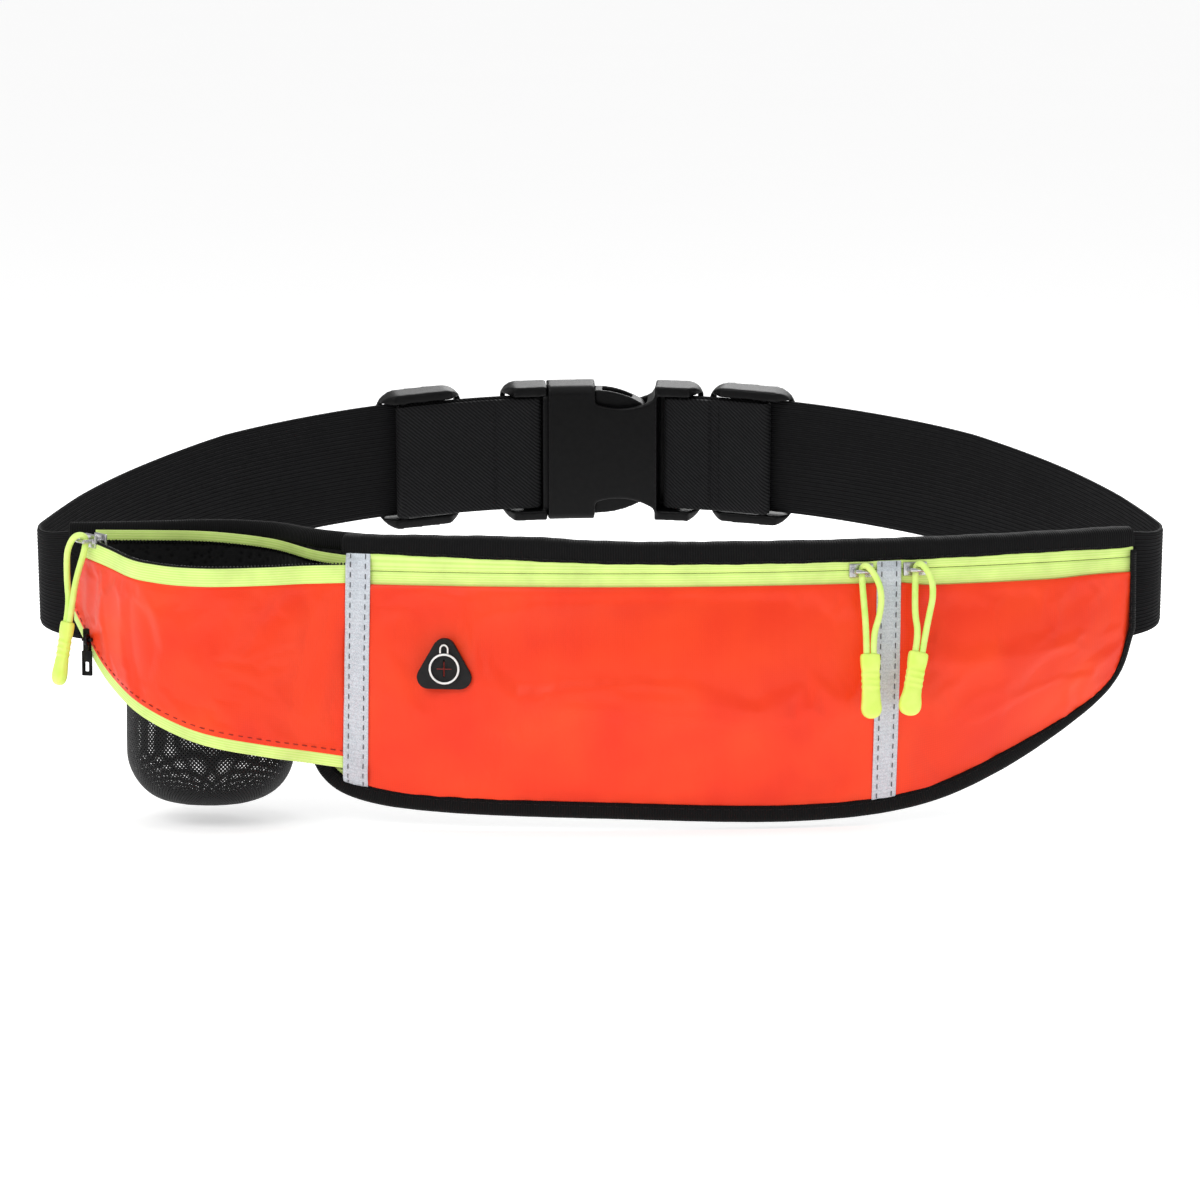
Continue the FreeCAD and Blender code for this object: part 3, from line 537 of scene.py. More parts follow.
def plain_look(name, low, high, size, depth, rough, uv=False, **values):
    """Moulded, cast or drawn material with a fine grain."""
    look = Look(name, uv)
    look.colour(look.between(srgb(*low), srgb(*high), look.noise(size * 12), 0.3, 0.7))
    look.rough(look.noise(size * 5), *rough)
    look.raise_by(look.noise(size, 2.0), depth)
    look.set(**values)
    return look.material


def coated_look():
    """Stretch cloth with a satin coating: a barely visible knit under soft uneven gloss."""
    look = Look("coated_fabric")
    base = look.between(srgb(242, 50, 6), srgb(255, 70, 18), look.noise(34.0, 2.0), 0.3, 0.7)
    knit = look.between((0.94, 0.94, 0.94, 1.0), WHITE, look.weave(0.8), 0.0, 0.6)
    look.colour(look.tint(base, knit, 1.0))
    look.rough(look.noise(9.0), 0.36, 0.5)
    look.raise_by(look.weave(0.8), 0.02).raise_by(look.noise(4.5, 3.0), 0.06)
    look.set(spec=0.35, sheen=0.05)
    return look.material


def mesh_look():
    """Black spacer mesh: rows of small round holes through a soft knit."""
    look = Look("spacer_mesh")
    holes = look.cells(2.6)
    look.colour(look.between(srgb(3, 3, 4), srgb(22, 22, 23), holes, 0.12, 0.42))
    look.rough(look.noise(1.2), 0.75, 0.95)
    look.raise_by(holes, 0.5).raise_by(look.ridges(look.axis("X"), 0.7), 0.06)
    look.set(sheen=0.08, spec=0.12)
    return look.material


def reflective_look():
    """Glass-bead tape: a grey satin face with a fine sparkle and faint rows."""
    look = Look("reflective_tape")
    beads = look.cells(0.35, "Color")
    speck = look.node("ShaderNodeRGBToBW")
    look.link(beads, speck.inputs[0])
    base = look.between(srgb(184, 191, 198), srgb(214, 221, 228), speck.outputs[0], 0.1, 0.9)
    rows = look.between((0.93, 0.93, 0.94, 1.0), WHITE, look.ridges(look.axis("Y"), 1.4), 0.0, 0.5)
    look.colour(look.tint(base, rows, 1.0))
    look.rough(speck.outputs[0], 0.35, 0.6)
    look.raise_by(look.cells(0.35), 0.05).raise_by(look.noise(6.0), 0.12)
    look.set(metal=0.25, spec=0.6)
    return look.material


def metal_look(name, low, high, rough):
    look = Look(name, uv=False)
    look.colour(look.between(srgb(*low), srgb(*high), look.noise(2.5), 0.3, 0.7))
    look.rough(look.noise(0.8), *rough)
    look.raise_by(look.noise(1.2), 0.03)
    look.set(metal=1.0)
    return look.material


orange = coated_look()
neon_tape = woven_look(
    "neon_tape", (214, 250, 128), (232, 255, 152), 0.9, "ribs along", 0.04, (0.4, 0.55), 0.0, spec=0.4
)
black_tape = woven_look("binding_tape", (2, 2, 3), (12, 12, 13), 0.9, "ribs", 0.14, (0.6, 0.8), 0.02)
spacer = mesh_look()
net_look = plain_look("net_nylon", (5, 5, 6), (16, 16, 18), 0.3, 0.05, (0.45, 0.65), spec=0.2)
reflective = reflective_look()
rubber = plain_look("port_rubber", (8, 8, 9), (18, 18, 19), 0.25, 0.04, (0.5, 0.66), spec=0.3)
white_mark = plain_look("port_mark", (225, 225, 222), (246, 246, 244), 0.25, 0.02, (0.5, 0.6))
zinc = metal_look("zinc_metal", (168, 168, 170), (214, 214, 216), (0.2, 0.38))
dark_metal = metal_look("black_metal", (24, 24, 25), (46, 46, 47), (0.3, 0.5))
cord_look = plain_look("neon_cord", (212, 250, 118), (232, 255, 146), 0.35, 0.12, (0.5, 0.7), sheen=0.1)
grip_look = plain_look("neon_grip", (218, 251, 98), (232, 255, 124), 0.5, 0.03, (0.36, 0.5), spec=0.5)
elastic_look = woven_look("elastic", (1, 1, 2), (22, 22, 24), 0.83, "ribs along", 0.12, (0.62, 0.8), 0.02)
twill_look = woven_look("twill", (1, 1, 2), (30, 30, 32), 1.5, "twill", 0.2, (0.5, 0.68), 0.02, slope=-0.9)
plastic = plain_look("buckle_plastic", (2, 2, 3), (8, 8, 9), 0.18, 0.03, (0.34, 0.48), spec=0.22)
lining = woven_look("lining", (8, 8, 9), (22, 22, 24), 0.7, "weave", 0.05, (0.7, 0.85))
coil_look = plain_look("zip_coil", (8, 8, 9), (20, 20, 21), 0.2, 0.03, (0.35, 0.5), spec=0.3)
dark_thread = plain_look("dark_thread", (62, 62, 66), (96, 96, 100), 0.2, 0.05, (0.6, 0.8))
red_thread = plain_look("red_thread", (120, 22, 12), (170, 38, 18), 0.2, 0.05, (0.6, 0.8))
black_thread = plain_look("black_thread", (12, 12, 13), (30, 30, 32), 0.2, 0.05, (0.6, 0.8), spec=0.2)
inner_wall = plain_look("inner_wall", (16, 16, 17), (32, 32, 34), 0.5, 0.06, (0.7, 0.85))


# ---- pulls: cords, grips and sliders ----------------------------------------

GRIP_Z, CORD_D, BAR_OUT = -29.0, 2.3, 5.3
STRANDS = [(-0.9, 0.1, -16.0), (-0.8, 0.8, -9.4), (-0.5, 1.9, -3.6), (-0.3, 2.1, 2.1), (0.9, -2.1, 2.1)]
STRANDS += [(4.2, -2.6, -3.4), (5.4, -1.2, -9.4), (4.2, -0.4, -16.0)]
# name: place on the zip, turn, the grip's sideways shift, its roll, the strand in front, lower lobe, lean
PULLS = {
    "main": (front(91.8, 400.4, ZIP_Z), math.asin(91.8 / FRONT_R), 0.5, 2.0, 1, 3.8, 13),
    "right": (front(111.0, 400.4, ZIP_Z), math.asin(111.0 / FRONT_R), -2.0, 14.0, 1, 4.2, 13),
    "pocket": (V((-180.5, END_Y - 15.6, 19.9)), math.radians(-59.5), -0.5, 1.0, -1, 4.1, 10),
}


def pull_placing(spot, turn, lean):
    out = Matrix.Translation(spot) @ Matrix.Rotation(turn, 4, "Z")
    return out @ Matrix.Translation((0, -BAR_OUT, 0)) @ Matrix.Rotation(math.radians(-lean), 4, "X")


def pull_route(side, roll, hand):
    """Up one strand, behind and over the slider's bar, and down the other."""
    turn = math.radians(roll)

    def from_grip(x, z):
        across = side + x * math.cos(turn) + z * math.sin(turn)
        return V((across, 0, GRIP_Z - x * math.sin(turn) + z * math.cos(turn)))

    middle = []
    for x, y, z in STRANDS:
        drift = side * math.sin(max(0.0, z / GRIP_Z) * math.pi / 2)
        middle.append(V((hand * x + drift, y, z)))
    first, last = -1.3 * hand, 1.3 * hand
    return [from_grip(first, 0), from_grip(first, 6.5)] + middle + [from_grip(last, 6.5), from_grip(last, 0)]


def cord_curve(name, points, diameter):
    data = bpy.data.curves.new(name, "CURVE")
    data.dimensions = "3D"
    data.bevel_depth = diameter / 2 * MM
    data.bevel_resolution = 5
    data.resolution_u = 12
    spline = data.splines.new("NURBS")
    spline.points.add(len(points) - 1)
    for slot, point in zip(spline.points, points):
        slot.co = (*(point * MM), 1.0)
    spline.order_u = 3
    spline.use_endpoint_u = True
    return add_object(name, data)


def oval(half_x, half_y, z, power, count=32):
    out = []
    for i in range(count):
        a = math.tau * i / count
        c, s = math.cos(a), math.sin(a)
        x = half_x * math.copysign(abs(c) ** (2 / power), c)
        y = half_y * math.copysign(abs(s) ** (2 / power), s)
        out.append(V((x, y, z)))
    return out


def grip_mesh(name, placing, side, roll, lobe):
    """The moulded pull: square shoulders, a slight waist with ribs, and a round lobe below."""
    profile = [(0.0, 2.6, 1.1), (-0.15, 3.3, 1.6), (-0.8, 3.6, 1.85), (-2.4, 3.6, 1.9), (-4.0, 3.5, 1.85)]
    for k in range(4):
        top = -5.2 - 2.2 * k
        profile += [(top, 3.4, 1.8), (top - 0.7, 3.2, 1.55), (top - 1.4, 3.2, 1.55), (top - 2.0, 3.35, 1.8)]
    profile += [(-15.2, 3.3, 1.8), (-17.0, lobe - 0.35, 1.9), (-19.2, lobe, 1.95), (-20.8, lobe * 0.92, 1.9)]
    profile += [(-22.0, lobe * 0.72, 1.7), (-22.7, lobe * 0.42, 1.3), (-22.95, lobe * 0.15, 0.6)]
    local = placing @ Matrix.Translation((side, 0, GRIP_Z)) @ Matrix.Rotation(math.radians(roll), 4, "Y")
    rows = [[local @ p for p in oval(half, thick, z, 3.2)] for z, half, thick in profile]
    return subdivide(sweep(name, rows))


def build_pulls():
    for name, (spot, turn, side, roll, hand, lobe, lean) in PULLS.items():
        placing = pull_placing(spot, turn, lean)
        points = [placing @ p for p in pull_route(side, roll, hand)]
        body = f"{name}_pull"
        grip = grip_mesh(f"{name}_grip", placing, side, roll, lobe)
        finish(grip, "neon_grip", grip_look, f"{name}_pull_grip", body=body)
        cord = cord_curve(f"{name}_cord", points, CORD_D)
        finish(cord, "neon_cord", cord_look, f"{name}_pull_cord", body=body)
        slider, slider_body = f"{name}_slider", "pack" if name == "pocket" else f"{name}_slider"
        cast(slider, 0.24, 4, f"{slider}_casting", "slider_metal", zinc, slider_body)
    cast("drop_slider", 0.22, 4, "drop_slider_casting", "black_metal", dark_metal)
    cast("drop_slider_tab", 0.2, 4, "drop_tab_casting", "black_metal", dark_metal, "drop_slider_tab")


# ---- camera, floor and light --------------------------------------------------

TARGET = V((0.0, -0.058, -0.0036))
VIEW_DISTANCE, HALF_VIEW, VIEW_TILT = 2.15, 0.21585, math.radians(7.5)
FLOOR_Z, FLOOR_REACH = -80.0, 20000.0
# name: place, size and watts
LAMPS = {
    "key": ((-0.9, -1.5, 1.3), 1.1, 14),
    "fill": ((1.3, -1.3, 0.5), 1.2, 0.7),
    "top": ((0.0, 0.1, 1.6), 1.6, 5),
    "back": ((0.3, 1.1, 0.8), 0.9, 10),
}


def build_camera():
    camera = bpy.data.cameras.new("camera")
    camera.sensor_width = 36.0
    camera.angle = 2 * math.atan(HALF_VIEW / VIEW_DISTANCE)
    view = add_object("camera", camera)
    view.location = TARGET + V((0, -math.cos(VIEW_TILT), math.sin(VIEW_TILT))) * VIEW_DISTANCE
    view.rotation_euler = (math.pi / 2 - VIEW_TILT, 0, 0)
    bpy.context.scene.camera = view
    bpy.context.scene.view_settings.view_transform = "Standard"


def build_floor():
    """A wide flat floor with a little light of its own, so that it reads white from every side."""
    spots = [-FLOOR_REACH, -1000.0, 1000.0, FLOOR_REACH]
    floor = grid("floor", [[V((x, y, FLOOR_Z)) for x in spots] for y in spots])
    look = Look("pale_floor", uv=False)
    look.colour(look.between((0.94, 0.94, 0.94, 1), (0.96, 0.96, 0.96, 1), look.noise(300)))
    look.rough(look.noise(80), 0.85, 0.95)
    look.shader.inputs["Emission Color"].default_value = WHITE
    look.shader.inputs["Emission Strength"].default_value = 0.48
    floor.data.materials.append(look.material)


def build_lights():
    world = bpy.data.worlds.new("studio")
    world.use_nodes = True
    world.node_tree.nodes["Background"].inputs[0].default_value = (1, 1, 1, 1)
    world.node_tree.nodes["Background"].inputs[1].default_value = 0.5
    bpy.context.scene.world = world
    for name, (place, size, watts) in LAMPS.items():
        data = bpy.data.lights.new(name, "AREA")
        data.size = size
        data.energy = watts
        lamp = add_object(name, data)
        lamp.location = place
        lamp.rotation_euler = (TARGET - V(place)).to_track_quat("-Z", "Y").to_euler()


# ---- the pack's front: panels, tapes, strips ----------------------------------


def hold_edges(panel, rows, columns, top, bottom, left, right):
    """Marks the points nearest each of a panel's four edges as held, this many deep."""
    held = []
    for i in range(rows):
        for j in range(columns):
            if i < top or i >= rows - bottom or j < left or j >= columns - right:
                held.append(i * columns + j)
    panel.vertex_groups.new(name="held").add(held, 1.0, "REPLACE")


def front_panel(name, x0, x1, columns, rows, creases):
    """A panel of cloth, with two more rows above its top edge that turn it in over its seam."""
    xs = steps(x0, x1, columns)
    face = [[panel_point(x, t, creases(x, t)) for x in xs] for t in steps(0, 1.03, rows)]
    fold = []
    for lift, back in ((0.3, 1.2), (0.42, 0.45)):
        fold.append([V((p.x, p.y + back, p.z + lift)) for p in face[0]])
    panel = grid(name, fold + face)
    hold_edges(panel, rows + 2, columns, 4, 2, 2, 2)
    return panel


def gentle(t, edge=0.12):
    """0 at both edges of a span and 1 between them."""
    return ease(t / edge) * ease((1 - t) / edge)


def main_creases(x, t):
    """The panel's shape: pulls that run down from the strips' corners and a shallow hollow."""
    near_left = math.exp(-(((x - LEFT_STRIP_X - 14) / 16) ** 2))
    near_right = math.exp(-(((x - RIGHT_STRIP_X + 18) / 14) ** 2))
    pull = 0.55 * math.sin(x * 0.11 - t * 7.0) * near_left
    pull += 0.4 * math.sin(x * 0.13 + t * 8.0) * near_right
    hollow = -0.8 * math.exp(-(((x + 62) / 26) ** 2)) + 0.5 * math.sin(x * 0.035 + 0.6)
    return (pull + hollow) * gentle(t) * gentle((x - LEFT_STRIP_X) / (RIGHT_STRIP_X - LEFT_STRIP_X), 0.05)


def right_creases(x, t):
    share = (x - RIGHT_STRIP_X) / (PACK_HALF - RIGHT_STRIP_X)
    pull = 0.4 * math.sin(x * 0.14 - t * 6.0) * math.exp(-(((share - 0.15) / 0.16) ** 2))
    sweep_in = 0.5 * math.sin(x * 0.09 + t * 5.0 + 1.0) * math.exp(-(((share - 0.72) / 0.2) ** 2))
    return (pull + sweep_in) * gentle(t) * gentle(share, 0.08)


def mouth_z(share):
    return at_x(MOUTH, wall_x(FRONT_WALL, share)).z


def left_end(z):
    """The share of the front wall's length where the pocket's cloth begins, at this height."""
    return 0.068 * ease((z - 1.0) / 12.0)


def pocket_creases(share, t):
    """Soft diagonal folds beside the strip and a long shallow one where the bottle's curve turns."""
    beside = 0.9 * math.sin(share * 46 + t * 6.0) * math.exp(-(((share - 0.87) / 0.1) ** 2)) * (1 - 0.6 * t)
    turn = 0.7 * math.sin(share * 21 - t * 2.2 + 0.5) * math.exp(-(((share - 0.3) / 0.2) ** 2))
    return beside + turn


def pocket_panel():
    columns, rows = 110, 40
    face = []
    for t in steps(0, 1, rows):
        row = []
        for share in steps(left_end(mix(13.0, -6.0, t)), 1, columns):
            low = at_x(DROP, wall_x(FRONT_WALL, share)).z + DROP_TAPE - 0.3
            out = 1.2 + max(-0.3, pocket_creases(share, t)) * gentle(t, 0.2) * gentle(share, 0.08)
            row.append(wall_point(FRONT_WALL, share, out, mix(mouth_z(share) - 0.4, low, t)))
        face.append(row)
    top = [p + V((0, 0.7, 0.45)) for p in face[0]]
    last = zip(steps(0, 1, columns), face[-1])
    bottom = [wall_point(FRONT_WALL, share, 0.6, p.z - 0.4) for share, p in last]
    panel = grid("pocket_front_cloth", [top] + face + [bottom])
    hold_edges(panel, rows + 2, columns, 3, 3, 2, 6)
    return panel


def strip_free(x):
    """0 under a sewn strip and 1 well away from both."""
    nearest = min(abs(x - LEFT_STRIP_X), abs(x - RIGHT_STRIP_X))
    return ease((nearest - STRIP_W / 2 - 0.8) / 10)


CLOTH = {
    "quality": 6,
    "mass": 0.15,
    "tension_stiffness": 30,
    "compression_stiffness": 30,
    "shear_stiffness": 12,
    "bending_stiffness": 0.6,
    "vertex_group_mass": "held",
    "use_pressure": True,
    "uniform_pressure_force": 0.9,
    "shrink_min": -0.006,
}
SETTLE_FRAMES = 18


def settle(panels, cap_out, cap_in):
    """Lets the panels' cloth find its shape under a little stuffing, held along its seams."""
    for panel in panels:
        cloth = panel.modifiers.new("Cloth", "CLOTH")
        for name, value in CLOTH.items():
            setattr(cloth.settings, name, value)
        cloth.settings.effector_weights.gravity = 0
        cloth.collision_settings.use_collision = False
        cloth.point_cache.frame_end = 24
    scene = bpy.context.scene
    for number in range(1, SETTLE_FRAMES + 1):
        scene.frame_set(number)
    for panel in panels:
        graph = bpy.context.evaluated_depsgraph_get()
        moved = [v.co.copy() for v in panel.evaluated_get(graph).data.vertices]
        panel.modifiers.clear()
        normals = [v.normal.copy() for v in panel.data.vertices]
        for vert, new, normal in zip(panel.data.vertices, moved, normals):
            outward = normal if normal.y < 0 else -normal
            free = strip_free(vert.co.x / MM) * MM
            vert.co += outward * min(cap_out * free, max(-cap_in * free, (new - vert.co).dot(outward)))
    scene.frame_set(1)


def turn_out(thing):
    """Makes a front piece's faces look away from the wearer."""
    if sum(p.normal.y for p in thing.data.polygons) > 0:
        thing.data.flip_normals()


def build_panels():
    main = front_panel("main_front_cloth", LEFT_STRIP_X - 2, RIGHT_STRIP_X, 130, 52, main_creases)
    right = front_panel("right_front_cloth", RIGHT_STRIP_X, PACK_HALF - 1.7, 66, 44, right_creases)
    pocket = pocket_panel()
    settle([main, right, pocket], 0.9, 1.2)
    finish(main, "coated_fabric", orange, "main_front_panel")
    finish(right, "coated_fabric", orange, "right_front_panel")
    finish(pocket, "coated_fabric", orange, "pocket_front_panel")
    for panel in (main, right, pocket):
        turn_out(panel)
        panel.data.materials.append(lining)
        thicken(panel, 0.8).modifiers[-1].material_offset = 1
        subdivide(panel)
        apply_modifiers(panel)


def places_at(place, start, stop, count):
    """A function of (distance out, height) for each of some evenly spaced places along a line."""
    return [partial(place, value) for value in steps(start, stop, count)]


def band(name, places, section):
    """A solid band with the same section, of (distance out, height), at each place."""
    return sweep(name, [[place(out, z) for out, z in section] for place in places])


def zip_place(x, out, z):
    """On the main zips' arc. The upper tape reaches up under the binding, and the lower one dips."""
    below = max(0.0, ZIP_Z - z) / (ZIP_Z - PANEL_TOP_Z)
    above = max(0.0, z - ZIP_Z - 1.6) / (TAPE_TOP_Z - ZIP_Z - 1.3)
    z += above * (at_x(LIP, x).z + 0.5 - TAPE_TOP_Z) - below * zip_dip(x)
    return front(x, FRONT_R + out, z)


def lipped(z_slit, z_far, out=0.85, thick=0.8):
    """A tape's section, with its edge at the slit turned in towards the teeth."""
    d = 1 if z_far > z_slit else -1
    inner, middle = out - thick, mix(z_slit, z_far, 0.5)
    lip = [(inner - 0.3, z_slit + 0.35 * d), (out - 0.32, z_slit + 0.02 * d), (out - 0.06, z_slit + 0.25 * d)]
    face = [(out + 0.08, z_slit + 0.9 * d), (out + 0.02, middle), (out, z_far - 0.4 * d), (out - 0.1, z_far)]
    return lip + face + [(inner, z_far), (inner, middle)]


def coil(name, places, centre_out, centre_z, *nodes):
    """One side of a zip: a helix of nylon along the tape's edge. places is a fine list of place functions."""
    radius, pitch, wire, points = 0.6, 1.25, 0.27, 9
    total = lengths([place(centre_out, centre_z) for place in places])[-1]
    count = int(total / pitch) * points
    path = []
    for i in range(count):
        share = i / (count - 1) * (len(places) - 1)
        k = min(len(places) - 2, int(share))
        a = math.tau * i / points
        out, z = centre_out + radius * math.cos(a), centre_z + radius * math.sin(a)
        path.append(places[k](out, z).lerp(places[k + 1](out, z), share - k))
    finish(tube_mesh(name, [path], wire, 5), "black_coil", coil_look, *nodes)


def tape(name, places, section, *nodes):
    """One tape of a zip, on the pack's body."""
    finish(band(name, places, section), "zip_tape", neon_tape, *nodes)


def build_zips():
    spans = {"main": (LEFT_STRIP_X + 1, RIGHT_STRIP_X), "right": (RIGHT_STRIP_X, PACK_HALF - END_BIND + 0.6)}
    sections = {
        "upper": (1, lipped(ZIP_Z + 0.04, TAPE_TOP_Z + 0.3)),
        "lower": (-1, lipped(ZIP_Z - 0.04, PANEL_TOP_Z - 0.2)),
    }
    for name, (x0, x1) in spans.items():
        for label, (side, section) in sections.items():
            places = places_at(zip_place, x0, x1, 90)
            tape(f"{name}_{label}_tape", places, section, f"{name}_zip_{label}_tape")
            inner = places_at(zip_place, x0 + 3, x1 - 3, 200)
            coil(f"{name}_{label}_coil", inner, -0.75, ZIP_Z + side * 0.98, f"{name}_zip_coils")


def strip_point(x, part, value, lift, over_pocket):
    """A place on a strip: value is z on its top part, by the zip, and a share of the panel below."""
    point = front_at(x, PANEL_R + lift, value) if part == "top" else panel_point(x, value, lift)
    if over_pocket:
        line = FRONT_WALL[0]
        cloth_y = at_x(line, x).y if x < line[-1].x else line[-1].y + 0.24 * (x - line[-1].x)
        climb = ease((point.z + 66) / 6)
        point.y = min(point.y, mix(point.y, cloth_y - 1.45 - lift, climb))
    if part == "top":
        tucked = front_at(x, FRONT_R + 0.9, value)
        point.y = mix(tucked.y, point.y, ease((at_x(LIP, x).z + 0.3 - value) / 3.5))
    return point


def strip_rows(x, over_pocket):
    """A strip's rows of points, from under the top binding down to the bottom one."""
    stations = [("top", z) for z in steps(at_x(LIP, x).z + 0.5, PANEL_TOP_Z + 1.2, 12)]
    stations += [("face", t) for t in steps(0, 1.0, 40)]
    rows = []
    for part, value in stations:
        z_share = (18.0 - value) / 110 if part == "top" else 0.1 + 0.9 * value
        lean = 0.7 * (1 - 2 * z_share)
        row = []
        for across in steps(-STRIP_W / 2, STRIP_W / 2, 11):
            lift = 0.55 + 0.1 * math.cos(across / STRIP_W * math.tau)
            lift += 0.06 * math.sin(z_share * 31 + across)
            row.append(strip_point(x + across + lean, part, value, lift, over_pocket))
        rows.append(row)
    return rows


def build_strips():
    for side, x in (("left", LEFT_STRIP_X), ("right", RIGHT_STRIP_X)):
        rows = strip_rows(x, side == "left")
        strip = grid(f"{side}_strip", rows)
        finish(strip, "reflective", reflective, f"{side}_reflective_strip")
        turn_out(strip)
        thicken(strip, 0.35)
        subdivide(strip)
        apply_modifiers(strip)
        lines = []
        for column in (2, 8):
            lines.append(smooth_line([row[column] + V((0, -0.12, 0)) for row in rows], 120))
        sew(f"{side}_strip_stitches", lines, (3.6, 2.1, 0.14), 0.17, 6, "reflective", dark_thread)


# ---- the pack's back and its bound edges --------------------------------------


def slab_ring(place, low, high, inner, outer, crown):
    """A padded wall's section: its two faces swell a little between its rounded ends."""
    shares = steps(0, 1, 26)
    ring = [place(outer - 0.35 * (t in (0, 1)), mix(high, low, t)) for t in shares]
    for t in shares:
        swell = crown * math.sin(math.pi * t) ** 0.6
        ring.append(place(inner - swell + 0.35 * (t in (0, 1)), mix(low, high, t)))
    return ring


def pad(name, rows, fill, *nodes):
    """One padded piece of the pack's back."""
    piece = finish(sweep(name, rows), "black_mesh", spacer, *nodes)


def build_back():
    rows = []
    for x in steps(LEFT_STRIP_X + 4, PACK_HALF - 1.6, 120):
        low = at_x(EDGE, x).z + (BIND - 1.6) * bind_share(x)
        high = max(TAPE_TOP_Z, at_x(LIP, x).z) + 0.6
        rows.append(slab_ring(partial(front_at, x), low, high, BACK_IN_R, BACK_OUT_R, 0.7))
    pad("back_padding", rows, 0.3, "back_panel")
    rows = []
    for x in steps(-103.4, LEFT_STRIP_X + 4.2, 22):
        low, high = at_x(EDGE, x).z + 2.0, at_x(DROP, x).z - 0.5
        rows.append(slab_ring(partial(front_at, x), low, max(high, low + 1), BACK_IN_R, BACK_OUT_R, 0.2))
    pad("back_corner", rows, 0.2)
    rows = []
    for share in steps(0.0, 0.985, 110):
        low = at_x(DROP, wall_x(REAR_WALL, share)).z + 0.1
        place = partial(wall_point, REAR_WALL, share)
        rows.append(slab_ring(place, low, REAR_WALL_TOP_Z + 0.6, -2.9, -0.1, 0.3))
    pad("pocket_back_padding", rows, 0.3)


def binding_section(outer):
    """A tape folded round an edge: (distance from the outline's edge, radius)."""
    back = BACK_IN_R - 0.55
    middle = mix(back, outer, 0.5)
    section = [(6.3, back + 0.9), (6.1, back + 0.15), (5.0, back), (3.0, back - 0.05), (1.3, back + 0.35)]
    section += [(0.35, back + 1.5), (0.0, middle), (0.3, outer - 1.3), (1.2, outer - 0.35), (3.0, outer)]
    return section + [(5.0, outer - 0.1), (6.1, outer - 0.45), (6.4, outer - 1.1), (6.0, middle)]


TOP_SECTION = [(-7.3, 0.03), (-7.7, 0.17), (-7.8, 0.5), (-7.2, 0.82), (-5.4, 0.97), (-3.4, 1.0), (-1.2, 0.96)]
TOP_SECTION += [(0.6, 0.82), (1.15, 0.57), (1.3, 0.25), (1.15, 0.06), (0.4, 0.0), (-3.5, -0.03)]
REAR_SECTION = [(0.5, 18.0), (0.75, 19.4), (0.6, 22.2), (-0.3, 24.0), (-1.8, 24.5), (-3.1, 23.6), (-3.6, 21.4)]
REAR_SECTION += [(-3.5, 19.2), (-3.2, 18.1), (-1.5, 17.8)]
BINDING_SEWING = ((3.2, 2.0, 0.1), 0.16, 5, "black_binding", black_thread)


def build_bottom_binding():
    """The tape round the pack's bottom edge and up its right end."""
    line = [p for p in EDGE if not (p.x < -80 and p.z > -53)]
    line += [V((PACK_HALF, 0, z)) for z in steps(line[-1].z + 1.0, TAPE_TOP_Z - 0.2, 28)]
    rows = []
    for i, p in enumerate(line):
        along = (line[min(i + 1, len(line) - 1)] - line[max(i - 1, 0)]).normalized()
        outer = mix(SEAM_R + 2.4, PANEL_R + 0.8, ease((p.z + 34) / 24) if p.x > 0 else 0.0)
        ripple = 0.12 * math.sin(i * 0.7) + 0.08 * math.sin(i * 1.9)
        width = bind_share(p.x)
        row = []
        for inset, radius in binding_section(outer + ripple):
            row.append(front_at(p.x - along.z * inset * width, radius, p.z + along.x * inset * width))
        rows.append(row)
    bottom = subdivide(sweep("bottom_edge_binding", rows))
    finish(bottom, "black_binding", black_tape, "bottom_binding")
    sew("bottom_binding_stitches", [[row[10] for row in rows]], *BINDING_SEWING)


def build_upper_bindings():
    rows = []
    for i, x in enumerate(steps(LEFT_STRIP_X - 5.5, PACK_HALF - 0.6, 180)):
        ripple = 0.1 * math.sin(i * 0.45) + 0.07 * math.sin(i * 1.3)
        close = 1 - 0.25 * ease((x - 186) / 7)
        low, high = at_x(LIP, x).z, at_x(CREST, x).z + ripple
        base = FRONT_R + ripple
        rows.append([front(x, base + out * close, mix(low, high, share)) for out, share in TOP_SECTION])
    top_edge = subdivide(sweep("top_edge_binding", rows))
    finish(top_edge, "black_binding", black_tape, "top_binding")
    stitched = steps(LEFT_STRIP_X + 5, PACK_HALF - 6, 200)
    line = [front(x, FRONT_R + 1.36, at_x(LIP, x).z + 1.4) for x in stitched]
    sew("top_binding_stitches", [line], *BINDING_SEWING)
    places = places_at(partial(wall_point, REAR_WALL), 0.0, 1.0, 130)
    rear = subdivide(band("pocket_edge_binding", places, REAR_SECTION))
    finish(rear, "black_binding", black_tape, "pocket_binding")


# ---- the bottle pocket ---------------------------------------------------------


def mouth_place(share, out, z):
    """On the front wall, with heights counted up from the mouth's seam."""
    return wall_point(FRONT_WALL, share, out, mouth_z(share) + z)


def rear_place(wall, share, out, z):
    """On the rear wall, with heights counted up from the rear tape's lower edge."""
    point = wall_point(wall, share, out, z)
    point.z += at_x(REAR_MOUTH, point.x).z
    return point


def drop_place(share, out, z):
    """On the front wall, with heights counted up from the drop-down zip's lower edge."""
    return wall_point(FRONT_WALL, share, out, at_x(DROP, wall_x(FRONT_WALL, share)).z + z)


